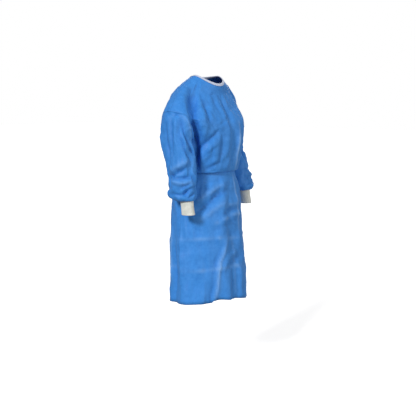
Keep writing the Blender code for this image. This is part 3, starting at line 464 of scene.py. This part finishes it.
sleeveCreases = {
    "sleeve_right": [
        ("outerBand", [(34, -0.18), (36, -0.225), (34, -0.275), (36, -0.33),
             (30, -0.385)], 0.015, 0.014, 0.5),
        ("outsideEdge", [(14, -0.195), (16, -0.26), (10, -0.33), (2, -0.4)], 0.01, -0.009, 0.5),
        ("frontTrough", [(60, -0.198), (62, -0.228), (70, -0.262), (84, -0.3),
             (100, -0.337)], 0.011, -0.016, 0.5),
        ("frontRidge", [(78, -0.188), (86, -0.215), (100, -0.25), (112, -0.29)], 0.01, 0.01, 0.5),
        ("longCrease", [(50, -0.235), (50, -0.27), (56, -0.329), (70, -0.36),
             (90, -0.385)], 0.01, -0.011, 0.5),
        ("shortCrease", [(82, -0.322), (98, -0.338), (114, -0.352)], 0.0085, -0.0117, 0.7),
        ("seamDimpleA", [(-34, -0.174), (-22, -0.172), (-4, -0.178)], 0.008, -0.0078, 0.6),
        ("seamDimpleB", [(28, -0.186), (42, -0.176), (60, -0.184)], 0.008, -0.008, 0.6),
        ("veeA", [(-22, -0.455), (0, -0.442), (15, -0.433), (35, -0.424),
             (58, -0.404)], 0.009, -0.012, 0.7),
        ("veeRidge", [(-2, -0.417), (37, -0.394), (66, -0.373)], 0.011, 0.009, 0.5),
        ("foldLow", [(-14, -0.442), (10, -0.45), (36, -0.454), (80, -0.447),
             (104, -0.474)], 0.009, -0.0149, 0.8),
        ("foldRidge", [(-10, -0.464), (36, -0.474), (76, -0.47)], 0.013, 0.011, 0.4),
        ("cuffCreaseA", [(-34, -0.524), (-10, -0.52), (13, -0.526), (43, -0.515), (66, -0.499),
             (108, -0.493)], 0.008, -0.013, 0.8),
        ("cuffCreaseB", [(12, -0.502), (50, -0.485), (86, -0.465)], 0.0085, -0.01, 0.7),
        ("cuffCreaseC", [(48, -0.54), (72, -0.529), (105, -0.515)], 0.008, -0.01, 0.8),
        ("cuffRidge", [(10, -0.5), (50, -0.497), (78, -0.486)], 0.01, 0.007, 0.5),
        ("bunchA", [(14, -0.538), (30, -0.505), (52, -0.486)], 0.0075, 0.005, 0.8),
        ("bunchB", [(48, -0.54), (62, -0.508), (88, -0.494)], 0.0075, 0.006, 0.8),
        ("bunchC", [(-30, -0.54), (-16, -0.505), (6, -0.49)], 0.0075, 0.004, 0.8),
        ("bunchD", [(76, -0.538), (96, -0.512), (120, -0.5)], 0.0075, -0.008, 0.7),
        ("bunchE", [(-60, -0.538), (-48, -0.508), (-30, -0.49)], 0.0075, -0.007, 0.7),
        ("bunchF", [(84, -0.43), (100, -0.452), (110, -0.49)], 0.0085, 0.007, 0.7),
        ("outsideTrough", [(-16, -0.215), (-20, -0.3), (-12, -0.385)], 0.012, -0.0104, 0.4),
        ("outsideRidge", [(-2, -0.36), (-6, -0.4), (-2, -0.43)], 0.012, 0.006, 0.4),
        ("outsideLow", [(-34, -0.42), (-20, -0.47), (-26, -0.512)], 0.01, -0.008, 0.5),
        ("elbowA", [(-150, -0.352), (-112, -0.368), (-70, -0.35)], 0.01, -0.009, 0.6),
        ("elbowB", [(-140, -0.385), (-104, -0.398), (-60, -0.392)], 0.01, -0.008, 0.6),
        ("backBand", [(-62, -0.22), (-58, -0.3), (-66, -0.345)], 0.014, 0.009, 0.4),
        ("backTrough", [(-96, -0.23), (-92, -0.29), (-98, -0.34)], 0.011, -0.01, 0.5),
        ("backLow", [(-130, -0.455), (-96, -0.47), (-56, -0.456)], 0.01, -0.01, 0.7),
        ("backLowB", [(-120, -0.5), (-80, -0.508), (-46, -0.5)], 0.008, -0.009, 0.7),
    ],
    "sleeve_left": [
        ("outerBand", [(20, -0.19), (24, -0.28), (32, -0.37)], 0.015, 0.014, 0.4),
        ("outsideEdge", [(2, -0.195), (4, -0.26), (0, -0.33)], 0.011, -0.008, 0.5),
        ("frontTrough", [(48, -0.2), (56, -0.27), (70, -0.34)], 0.011, -0.0144, 0.5),
        ("longCrease", [(96, -0.29), (84, -0.345), (72, -0.4), (64, -0.43)], 0.011, -0.013, 0.6),
        ("elbowA", [(30, -0.372), (66, -0.356), (110, -0.37)], 0.01, -0.013, 0.6),
        ("elbowB", [(-150, -0.35), (-110, -0.362), (-70, -0.352)], 0.01, -0.009, 0.6),
        ("elbowC", [(-136, -0.39), (-96, -0.404), (-58, -0.388)], 0.01, -0.008, 0.6),
        ("foldLow", [(20, -0.446), (66, -0.456), (112, -0.444)], 0.009, -0.012, 0.8),
        ("foldRidge", [(30, -0.47), (70, -0.478), (104, -0.468)], 0.013, 0.0117, 0.4),
        ("cuffCreaseA", [(20, -0.516), (70, -0.512), (118, -0.52)], 0.008, -0.011, 0.8),
        ("cuffCreaseB", [(60, -0.49), (90, -0.498), (122, -0.488)], 0.008, -0.009, 0.8),
        ("bunchA", [(20, -0.54), (38, -0.506), (60, -0.49)], 0.0075, 0.007, 0.8),
        ("bunchB", [(66, -0.538), (84, -0.508), (104, -0.496)], 0.0075, 0.007, 0.8),
        ("bunchC", [(-34, -0.54), (-18, -0.506), (2, -0.492)], 0.0075, -0.007, 0.7),
        ("bunchD", [(100, -0.44), (90, -0.466), (96, -0.5)], 0.0085, 0.007, 0.7),
        ("outsideTrough", [(-18, -0.215), (-22, -0.3), (-12, -0.385)], 0.012, -0.009, 0.4),
        ("outsideLow", [(-30, -0.43), (-18, -0.474), (-24, -0.512)], 0.01, -0.008, 0.5),
        ("backBand", [(-60, -0.22), (-56, -0.29), (-64, -0.345)], 0.014, 0.009, 0.4),
        ("backTrough", [(-94, -0.23), (-90, -0.29), (-98, -0.336)], 0.011, -0.01, 0.5),
        ("backLow", [(-128, -0.452), (-92, -0.466), (-50, -0.45)], 0.01, -0.01, 0.7),
        ("backLowB", [(-118, -0.502), (-78, -0.508), (-40, -0.498)], 0.008, -0.009, 0.7),
    ],
}

# Short sharp creases that handling leaves all over papery cloth
handling = {
    "seed": 11, "body": 150, "sleeve": 34, "length": (0.030, 0.110), "width": (0.0060, 0.0090),
    "rise": (0.0014, 0.0042), "lean": 0.8,
}


def pathDistance(turn, z, radius, path):
    # How far each point lies from a path over the cloth, and how far along the path it is
    middle = sum(p[0] for p in path) / len(path)
    turn = (turn - middle + 180.0) % 360.0 - 180.0 + middle
    across = np.radians(turn) * radius
    lengths = [math.hypot(math.radians(b[0] - a[0]) * 0.17, b[1] - a[1])
               for a, b in zip(path, path[1:])]
    away, along = np.full(len(z), 9.0), np.zeros(len(z))
    done = 0.0
    for (a, b), length in zip(zip(path, path[1:]), lengths):
        startX, runX = np.radians(a[0]) * radius, np.radians(b[0] - a[0]) * radius
        startZ, runZ = a[1], b[1] - a[1]
        share = ((across - startX) * runX + (z - startZ) * runZ) / (runX**2 + runZ**2)
        share = np.clip(share, 0.0, 1.0)
        gap = np.hypot(across - startX - share * runX, z - startZ - share * runZ)
        nearer = gap < away
        along[nearer] = (done + share[nearer] * length) / sum(lengths)
        away[nearer] = gap[nearer]
        done += length
    return away, along


def creaseHeight(turn, z, radius, path, width, crisp, fade=0.8):
    away, along = pathDistance(turn, z, radius, path)
    soft = np.exp(-((away / width) ** 2))
    sharp = np.exp(-1.6 * away / width)
    ends = np.sin(np.pi * (0.10 + 0.80 * along)) ** fade
    return ((1.0 - crisp) * soft + crisp * sharp) * ends


def noiseField(points, scale, seed):
    shift = Vector((seed * 3.1, seed * 1.7, seed * 2.3))
    return np.array([noise.noise(Vector(p) * scale + shift) for p in points])


def crumple(points, scale, seed):
    # Uneven flat facets that meet in sharp shallow valleys, taller than they are wide
    shift = Vector((seed * 3.1, seed * 1.7, seed * 2.3))
    stretch = Vector((1.0, 1.0, 0.7)) * scale
    found = np.empty(len(points))
    for i, p in enumerate(points):
        near = noise.voronoi(Vector(p) * stretch + shift)[0]
        found[i] = near[1] - near[0]
    return found


def panelMasks(mesh):
    # Which points belong to each panel
    panelOf = np.empty(len(mesh.polygons), dtype=np.int32)
    mesh.polygons.foreach_get("material_index", panelOf)
    corner = np.empty(len(mesh.loops), dtype=np.int32)
    mesh.loops.foreach_get("vertex_index", corner)
    corners = np.empty(len(mesh.polygons), dtype=np.int32)
    mesh.polygons.foreach_get("loop_total", corners)
    panelOf = np.repeat(panelOf, corners)
    masks = {}
    for index, name in enumerate(gown["panels"]):
        masks[name] = np.zeros(len(mesh.vertices), dtype=bool)
        masks[name][corner[panelOf == index]] = True
    return masks


def bodyPlaces(points):
    x, y = points[:, 0], points[:, 1] - gown["axisY"]
    return np.degrees(np.arctan2(x, -y)), np.hypot(x, y)


def armPlaces(points, name):
    side = 1.0 if name == "sleeve_left" else -1.0
    line = np.array(armLine[name])
    centreX = np.interp(-points[:, 2], -line[:, 0], line[:, 1])
    centreY = np.interp(-points[:, 2], -line[:, 0], line[:, 2])
    outX, outY = side * points[:, 0] - centreX, centreY - points[:, 1]
    return np.degrees(np.arctan2(outY, outX)), np.hypot(outX, outY)


def heldCloth(points, masks):
    # 0 where the cloth is sewn or tied down: the neckline and under the belt
    x, y, z = points.T
    onSleeve = masks["sleeve_left"] | masks["sleeve_right"]
    fromNeck = np.hypot(x / 0.085, (y + 0.012) / 0.064)
    nearNeck = (z > -0.09) * (1.0 - smoothStep((fromNeck - 1.20) / 0.30))
    inWaist = ~onSleeve * smoothStep((z + 0.470) / 0.012) * smoothStep((-0.436 - z) / 0.004)
    return (1.0 - np.clip(nearNeck, 0, 1)) * (1.0 - inWaist)


def placedCreases(points, masks, fine):
    # The height of all creases that are fine, or of all that are broad, the pale line along them
    # (fold whitening and painted highlight) and the painted shade in their troughs
    height, wearAndHighlight, troughShade = np.zeros((3, len(points)))
    onBody = masks["front"] | masks["back_left"] | masks["back_right"]
    jobs = [(np.where(onBody)[0], bodyPlaces(points[onBody]), bodyCreases)]
    for name in ("sleeve_left", "sleeve_right"):
        places = armPlaces(points[masks[name]], name)
        jobs.append((np.where(masks[name])[0], places, sleeveCreases[name]))
    for chosen, (turn, radius), creases in jobs:
        for name, path, width, rise, crisp in creases:
            if (width < gown["fineWidth"]) != fine:
                continue
            height[chosen] += rise * creaseHeight(turn, points[chosen, 2], radius, path, width, crisp)
            if rise < 0:
                # Troughs get painted shade, deeper for deeper troughs
                found = creaseHeight(turn, points[chosen, 2], radius, path, width * 0.5, 0.6)
                troughShade[chosen] += min(1.0, -rise / 0.016) ** 1.15 * found
            # Crisp raised creases and tall ridges get painted highlight: a pale line along the crest
            if crisp > 0.85 and rise > 0:
                found = creaseHeight(turn, points[chosen, 2], radius, path, 0.0055, 1.0)
                wearAndHighlight[chosen] += (3.6 * crisp - 2.9) * found
            if rise > 0.0085:
                wearAndHighlight[chosen] += 0.16 * creaseHeight(turn, points[chosen, 2], radius, path, width, 0.4)
    if fine:
        chance = np.random.default_rng(handling["seed"])
        for chosen, (turn, radius), creases in jobs:
            tall = (-0.53, -0.20) if creases is not bodyCreases else (-1.02, -0.10)
            for count in range(handling["sleeve" if creases is not bodyCreases else "body"]):
                middle = chance.uniform(-180, 180), chance.uniform(*tall)
                length, lean = chance.uniform(*handling["length"]), chance.normal(0, handling["lean"])
                across = math.degrees(length * math.sin(lean) / float(np.median(radius))) / 2
                up = length * math.cos(lean) / 2
                path = [(middle[0] - across, middle[1] + up),
                        (middle[0] + across * 0.2, middle[1] - up * 0.1),
                        (middle[0] + across, middle[1] - up)]
                rise = chance.uniform(*handling["rise"]) * chance.choice([-1.0, 1.0])
                width = chance.uniform(*handling["width"])
                found = creaseHeight(turn, points[chosen, 2], radius, path, width, 0.9)
                height[chosen] += rise * found
                # Raised handling creases are a touch paler along the crest: fold whitening and painted
                # highlight
                wearAndHighlight[chosen] += 0.03 * found * (rise > 0)
        chosen, (turn, radius) = jobs[0][0], jobs[0][1]
        for name, path, rise in packingCreases:
            found = creaseHeight(turn, points[chosen, 2], radius, path, 0.0045, 1.0, 0.3)
            height[chosen] += rise * found
            wearAndHighlight[chosen] += 0.22 * found
    return height, wearAndHighlight, troughShade


def moveOut(mesh, height):
    setPoints(mesh, meshPoints(mesh) + meshNormals(mesh) * height[:, None])


settle = {
    "excess": 0.040, "frames": 22, "inset": 0.009, "cap": 0.011, "gap": 0.0007,
    "mass": 0.12, "tension": 12.0, "shear": 4.0, "bending": 0.6, "goal": 0.5,
    "weak": 0.02, "bodiceHold": 0.88, "sleeveHold": 0.65, "skirtHold": 0.80,
}


def settledCloth(mesh, masks):
    # Blender's cloth, a little larger than the form it hangs on, settles into its own folds
    rest = meshPoints(mesh)
    normals = meshNormals(mesh)
    obj = bpy.data.objects.new("settling", mesh.copy())
    bpy.context.scene.collection.objects.link(obj)
    form = bpy.data.objects.new("form", mesh.copy())
    bpy.context.scene.collection.objects.link(form)
    setPoints(form.data, rest - normals * settle["inset"])
    form.modifiers.new("collision", "COLLISION")
    form.collision.thickness_outer = 0.002
    form.collision.cloth_friction = 12.0
    hold = obj.vertex_groups.new(name="hold")
    free = heldCloth(rest, masks)
    shape = bmesh.new()
    shape.from_mesh(mesh)
    for vertex in shape.verts:
        weight = 1.0 - free[vertex.index]
        if vertex.is_boundary:
            weight = max(weight, 0.9)
        hold.add([vertex.index], max(weight, settle["weak"]), "REPLACE")
    shape.free()
    cloth = obj.modifiers.new("cloth", "CLOTH")
    rules = cloth.settings
    rules.quality = 6
    rules.mass = settle["mass"]
    rules.tension_stiffness = rules.compression_stiffness = settle["tension"]
    rules.shear_stiffness = settle["shear"]
    rules.bending_stiffness = settle["bending"]
    rules.shrink_min = rules.shrink_max = -settle["excess"]
    rules.vertex_group_mass = "hold"
    rules.pin_stiffness = settle["goal"]
    cloth.collision_settings.distance_min = 0.001
    cloth.point_cache.frame_start, cloth.point_cache.frame_end = 1, settle["frames"]
    scene = bpy.context.scene
    for step in range(1, settle["frames"] + 1):
        scene.frame_set(step)
    settled = bpy.data.meshes.new_from_object(
        obj.evaluated_get(bpy.context.evaluated_depsgraph_get())
    )
    moved = meshPoints(settled) - rest
    bpy.data.meshes.remove(settled)
    for made in (obj, form):
        bpy.data.objects.remove(made)
    scene.frame_set(1)
    size = np.linalg.norm(moved, axis=1)
    print("settled by up to", round(float(size.max()), 4), "mean", round(float(size.mean()), 4))
    return moved


def roomRound(points, normals, mesh):
    # How far each point can move out and in before it meets another layer of cloth
    tree = BVHTree.FromPolygons(points.tolist(), [tuple(p.vertices) for p in mesh.polygons])
    room = np.full((2, len(points)), settle["cap"])
    for i, (place, normal) in enumerate(zip(points, normals)):
        for row, way in enumerate((1.0, -1.0)):
            ray = Vector(normal) * way
            hit = tree.ray_cast(Vector(place) + ray * 0.0012, ray, 2 * settle["cap"])
            if hit[0] is not None:
                room[row, i] = max(0.0, min(settle["cap"], (hit[3] + 0.0012) / 2 - settle["gap"]))
    return room


skinMesh = wholeSkin()
masks = panelMasks(skinMesh)
height = placedCreases(meshPoints(skinMesh), masks, False)[0]
moveOut(skinMesh, height * heldCloth(meshPoints(skinMesh), masks))
rest, normals = meshPoints(skinMesh), meshNormals(skinMesh)
moved = settledCloth(skinMesh, masks)
room = roomRound(rest, normals, skinMesh)
onSleeve = masks["sleeve_left"] | masks["sleeve_right"]
low = smoothStep((-0.46 - rest[:, 2]) / 0.06)
head = smoothStep((rest[:, 2] + 0.27) / 0.07)
edge = smoothStep((rest[:, 2] + 0.49) / 0.03) * smoothStep((-0.38 - rest[:, 2]) / 0.04)
bodice = settle["bodiceHold"] * (1.0 - low) + settle["skirtHold"] * low
holding = np.where(onSleeve, settle["sleeveHold"] * (1.0 - head) + 0.95 * head,
                   bodice * (1.0 - edge) + edge)
room *= 1.0 - holding
outward = np.sum(moved * normals, axis=1)
sideways = moved - outward[:, None] * normals
outward = np.clip(outward, -room[1], room[0])
reach = np.maximum(np.linalg.norm(sideways, axis=1), 1e-9)
sideways *= (np.minimum(1.0, settle["cap"] / reach) * (1.0 - holding))[:, None]
setPoints(skinMesh, rest + outward[:, None] * normals + sideways)
skinMesh = rounded(skinMesh)
print("cloth settled:", len(skinMesh.vertices), "points")

masks = panelMasks(skinMesh)
points = meshPoints(skinMesh)
height, wearAndHighlight, troughShade = placedCreases(points, masks, True)
crinkle = noiseField(points, 16.0, 1) * 0.0012 + noiseField(points, 42.0, 2) * 0.0008
crinkle += np.minimum(crumple(points, 8.0, 5), 0.5) * 0.0080
crinkle += np.minimum(crumple(points, 16.0, 3), 0.5) * 0.0052
crinkle += np.minimum(crumple(points, 32.0, 4), 0.5) * 0.0020
crinkle -= np.mean(crinkle)
moveOut(skinMesh, (height + crinkle) * heldCloth(points, masks))
points = meshPoints(skinMesh)
turn, radius = bodyPlaces(points)
# The hem is caught up beside the long crease
lift = smoothStep((turn + 48) / 3.5) * (1.0 - smoothStep((turn + 34) / 26))
lift = lift * smoothStep((-0.95 - points[:, 2]) / 0.08)
points[:, 2] += 0.008 * lift
setPoints(skinMesh, points)
# Pale crease line: fold whitening, and painted highlight on crests and along the rim lines
creaseWear = skinMesh.attributes.new("creaseWear", "FLOAT", "POINT")
creaseWear.data.foreach_set("value", np.clip(wearAndHighlight, 0, 0.6).astype(np.float32))
# Painted shade in crease troughs
paintedTroughShade = skinMesh.attributes.new("paintedTroughShade", "FLOAT", "POINT")
paintedTroughShade.data.foreach_set("value", np.clip(0.75 * troughShade, 0, 0.8).astype(np.float32))
print("creases placed")


def panelPiece(name):
    index = gown["panels"].index(name)
    cut = bmesh.new()
    cut.from_mesh(skinMesh)
    others = [f for f in cut.faces if f.material_index != index]
    bmesh.ops.delete(cut, geom=others, context="FACES")
    piece = fromBmesh("cloth_" + name, cut, nonwoven)
    thick = piece.modifiers.new("thickness", "SOLIDIFY")
    thick.thickness, thick.offset = gown["wall"], -1.0
    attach(piece, "root")
    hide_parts(name)
    return piece


for name in gown["panels"]:
    piece = panelPiece(name)
print("panels cut")


# Neck binding, cuffs, belt, tab

def trimPiece(node, name, material, levels=2):
    shape = cadCopy(node)
    joinQuads(shape)
    bmesh.ops.recalc_face_normals(shape, faces=shape.faces)
    piece = fromBmesh(name, shape, material)
    rounder = piece.modifiers.new("rounder", "SUBSURF")
    rounder.levels = rounder.render_levels = levels
    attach(piece, "root")
    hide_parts(node)
    return piece


bindingPiece = trimPiece("neck_binding", "folded_binding", binding)
beltPiece = trimPiece("belt", "belt_tape", tape)
endPieceA = trimPiece("belt_end_a", "belt_tail_a", tape)
endPieceB = trimPiece("belt_end_b", "belt_tail_b", tape)
tabPiece = trimPiece("neck_fastener", "hook_tab", hook)

knotLook = {
    "centre": 0.42, "reach": 0.58, "pleats": 9, "pleatDepth": 0.06, "band": 0.36, "lean": 0.30,
    "bandSegments": 40, "bandRows": 6, "wall": 0.0009,
}


def tiedKnot():
    # The ends are pulled through each other: a tight band over two gathered halves of tape
    solid = cadCopy("belt_knot")
    places = np.array([v.co for v in solid.verts])
    solid.free()
    middle = (places.max(axis=0) + places.min(axis=0)) / 2
    half = (places.max(axis=0) - places.min(axis=0)) / 2
    shape = bmesh.new()
    for side in (-1, 1):
        puff = bmesh.ops.create_uvsphere(shape, u_segments=64, v_segments=32, radius=1.0)["verts"]
        for vertex in puff:
            x, y, z = vertex.co
            pleat = 1.0 + knotLook["pleatDepth"] * math.cos(knotLook["pleats"] * math.atan2(z, y))
            vertex.co.x = middle[0] + half[0] * (side * knotLook["centre"] + x * knotLook["reach"])
            vertex.co.y = middle[1] + 0.86 * half[1] * y * pleat
            vertex.co.z = middle[2] + 0.90 * half[2] * z * pleat
    ring = bmesh.ops.create_circle(shape, segments=knotLook["bandSegments"], radius=1.0)["verts"]
    bmesh.ops.rotate(shape, verts=ring, matrix=Matrix.Rotation(math.pi / 2, 3, "Y"))
    edges = list({edge for vertex in ring for edge in vertex.link_edges})
    band, faces = list(ring), []
    for row in range(knotLook["bandRows"]):
        new = bmesh.ops.extrude_edge_only(shape, edges=edges)["geom"]
        edges = [part for part in new if isinstance(part, bmesh.types.BMEdge)]
        faces += [part for part in new if isinstance(part, bmesh.types.BMFace)]
        moved = [part for part in new if isinstance(part, bmesh.types.BMVert)]
        bmesh.ops.translate(shape, verts=moved, vec=(2.0 / knotLook["bandRows"], 0.0, 0.0))
        band += moved
    for vertex in band:
        x, y, z = vertex.co
        across = x - 1.0
        bulge = 0.97 - 0.10 * across * across
        vertex.co.x = middle[0] + half[0] * (knotLook["band"] * across + knotLook["lean"] * z * 0.5)
        vertex.co.y = middle[1] + half[1] * y * bulge
        vertex.co.z = middle[2] + half[2] * z * bulge
    bmesh.ops.recalc_face_normals(shape, faces=shape.faces)
    bmesh.ops.solidify(shape, geom=faces, thickness=knotLook["wall"])
    piece = fromBmesh("tied_knot", shape, tape)
    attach(piece, "root")
    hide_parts("belt_knot")
    return piece


knotPiece = tiedKnot()

stitching = {
    "length": 0.0026, "pitch": 0.0040, "radius": 0.00028, "across": 0.0985, "depth": 0.0700,
    "centreY": -0.009, "side": -0.010, "front": -0.053, "back": -0.024, "lift": 0.004,
}


def neckStitches():
    # One row of sewing goes round the binding, just above its lower edge
    bpy.context.view_layer.update()
    surface = BVHTree.FromObject(bindingPiece, bpy.context.evaluated_depsgraph_get())
    count = int(2 * math.pi * (stitching["across"] + stitching["depth"]) / 2 / stitching["pitch"])
    shape = bmesh.new()
    for i in range(count):
        ends = []
        for shift in (-0.5, 0.5):
            turn = 2 * math.pi * (i + 0.5 * shift * stitching["length"] / stitching["pitch"] * 2) / count
            facing = math.cos(turn)
            low = stitching["front"] if facing > 0 else stitching["back"]
            z = stitching["side"] + (low - stitching["side"]) * abs(facing) ** 1.5
            aim = Vector((stitching["across"] * math.sin(turn),
                          stitching["centreY"] - stitching["depth"] * facing, z + stitching["lift"]))
            ends.append(surface.find_nearest(aim)[0])
        run = ends[1] - ends[0]
        if not 0.001 < run.length < 2 * stitching["length"]:
            continue
        thread = bmesh.ops.create_uvsphere(shape, u_segments=8, v_segments=6, radius=1.0)["verts"]
        bmesh.ops.scale(shape, verts=thread, vec=(stitching["radius"], stitching["radius"], run.length / 2))
        bmesh.ops.rotate(shape, verts=thread, matrix=run.to_track_quat("Z", "Y").to_matrix())
        bmesh.ops.translate(shape, verts=thread, vec=(ends[0] + ends[1]) / 2)
    print("neck stitches", len(shape.verts) // 42)
    piece = fromBmesh("neck_stitches", shape, binding)
    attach(piece, "root")
    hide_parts("neck_binding")
    return piece


neckStitches()

cuffSize = {
    "radius": 0.0290, "length": 0.072, "lean": 0.010, "top": -0.544, "middle": 0.250,
    "y": {"cuff_right": -0.077, "cuff_left": -0.055}, "ribs": 60, "ribHeight": 0.00045,
    "segments": 240, "rows": 26, "wall": 0.0012,
}


def cuffPiece(node):
    side = 1.0 if node == "cuff_left" else -1.0
    shape = bmesh.new()
    bmesh.ops.create_circle(shape, segments=cuffSize["segments"], radius=cuffSize["radius"])
    ring = list(shape.edges)
    bmesh.ops.translate(shape, verts=shape.verts,
                        vec=(side * cuffSize["middle"], cuffSize["y"][node], cuffSize["top"]))
    for row in range(cuffSize["rows"]):
        new = bmesh.ops.extrude_edge_only(shape, edges=ring)["geom"]
        ring = [e for e in new if isinstance(e, bmesh.types.BMEdge)]
        moved = [v for v in new if isinstance(v, bmesh.types.BMVert)]
        bmesh.ops.translate(shape, verts=moved, vec=(
            0.0, -cuffSize["lean"] / cuffSize["rows"], -cuffSize["length"] / cuffSize["rows"]))
    for vertex in shape.verts:
        share = (cuffSize["top"] - vertex.co.z) / cuffSize["length"]
        centreY = cuffSize["y"][node] - cuffSize["lean"] * share
        centre = Vector((side * cuffSize["middle"], centreY, vertex.co.z))
        out = vertex.co - centre
        turn = math.atan2(out.y, out.x)
        rib = math.cos(cuffSize["ribs"] * turn) * cuffSize["ribHeight"]
        slack = 0.0009 * noise.noise(vertex.co * 30.0) - 0.0010 * math.sin(math.pi * share)
        vertex.co = centre + out.normalized() * (cuffSize["radius"] + rib + slack)
    bmesh.ops.recalc_face_normals(shape, faces=shape.faces)
    piece = fromBmesh("knitted_" + node, shape, knit)
    thick = piece.modifiers.new("thickness", "SOLIDIFY")
    thick.thickness, thick.offset = cuffSize["wall"], -1.0
    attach(piece, "root")
    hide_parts(node)
    return piece


cuffRight = cuffPiece("cuff_right")
cuffLeft = cuffPiece("cuff_left")


def sheetArea(piece):
    mesh = bpy.data.meshes.new_from_object(
        piece.evaluated_get(bpy.context.evaluated_depsgraph_get())
    )
    found = sum(p.area for p in mesh.polygons)
    bpy.data.meshes.remove(mesh)
    return found


bpy.context.view_layer.update()
for piece in (bindingPiece, beltPiece, endPieceA, endPieceB, tabPiece):
    print("surface of", piece.name, round(sheetArea(piece), 5))
print("trim made")


# Floor, light and camera

studio = {
    "floor": -1.453, "floorColour": "#F8F8F9", "worldSeen": 1.0, "worldLight": 0.27, "floorGlow": 0.5,
    "keyTurn": -82.0, "keyRise": 28.0, "keySoftness": 10.0, "keyStrength": 2.4,
    "rimTurn": 8.0, "rimRise": 6.0, "rimSoftness": 50.0, "rimStrength": 1.4,
    "backTurn": 118.0, "backRise": 22.0, "backSoftness": 40.0, "backStrength": 1.0,
}


def makeFloor():
    shape = bmesh.new()
    bmesh.ops.create_grid(shape, x_segments=8, y_segments=8, size=30.0)
    bmesh.ops.translate(shape, verts=shape.verts, vec=(0.0, 0.0, studio["floor"]))
    made, tree, shader = newMaterial("white studio floor", {
        "Roughness": 0.9, "Emission Color": (1.0, 1.0, 1.0, 1.0),
        "Emission Strength": studio["floorGlow"],
    })
    place = addNode(tree, "ShaderNodeTexCoord").outputs["Object"]
    clouds = addNode(tree, "ShaderNodeTexNoise", {"Scale": 1.5}, {"Vector": place})
    tone = colourRamp(tree, clouds.outputs["Fac"], [(0.0, studio["floorColour"]), (1.0, "#FAFAFA")])
    tree.links.new(tone.outputs["Color"], shader.inputs["Base Color"])
    floor = fromBmesh("studio_floor", shape, made)
    floor.visible_diffuse = False   # it is seen white, and throws no light up at the cloth
    floor.visible_glossy = False
    return floor


def softLight(name):
    # A large soft light far away, so that the floor is lit evenly
    light = bpy.data.lights.new(name, "SUN")
    light.angle = math.radians(studio[name + "Softness"])
    light.energy = studio[name + "Strength"]
    obj = bpy.data.objects.new(name, light)
    bpy.context.scene.collection.objects.link(obj)
    turn, rise = math.radians(studio[name + "Turn"]), math.radians(studio[name + "Rise"])
    source = Vector((math.sin(turn) * math.cos(rise), -math.cos(turn) * math.cos(rise), math.sin(rise)))
    obj.location = source * 4.0
    obj.rotation_euler = (-source).to_track_quat("-Z", "Y").to_euler()


def makeWorld():
    # A white cyclorama: bright where it is seen, and half as strong where it lights the cloth
    world = bpy.data.worlds.new("studio")
    bpy.context.scene.world = world
    world.use_nodes = True
    tree = world.node_tree
    background = tree.nodes["Background"]
    background.inputs["Color"].default_value = (1.0, 1.0, 1.0, 1.0)
    seen = addNode(tree, "ShaderNodeLightPath")
    strength = addNode(tree, "ShaderNodeMapRange",
                       {"To Min": studio["worldLight"], "To Max": studio["worldSeen"]},
                       {"Value": seen.outputs["Is Camera Ray"]})
    tree.links.new(strength.outputs["Result"], background.inputs["Strength"])


makeFloor()
softLight("key")
softLight("rim")
softLight("back")
makeWorld()

view = {"turn": -55.0, "pitch": 7.6, "distance": 3.8, "height": -0.113, "shift": 3 / 215,
        "sensor": 36.0, "focus": 817, "width": 416}


def makeCamera():
    turn, pitch = math.radians(view["turn"]), math.radians(view["pitch"])
    back = Vector((math.sin(turn), -math.cos(turn), 0.0))
    right = Vector((math.cos(turn), math.sin(turn), 0.0))
    camera = bpy.data.cameras.new("camera")
    camera.sensor_width = view["sensor"]
    camera.lens = view["sensor"] * view["focus"] / view["width"]
    obj = bpy.data.objects.new("camera", camera)
    bpy.context.scene.collection.objects.link(obj)
    obj.location = back * view["distance"] + Vector((0, 0, view["height"])) + right * view["shift"]
    forward = -back * math.cos(pitch) + Vector((0, 0, -math.sin(pitch)))
    obj.rotation_euler = forward.to_track_quat("-Z", "Y").to_euler()
    bpy.context.scene.camera = obj


makeCamera()
print("studio ready")

bpy.context.view_layer.update()
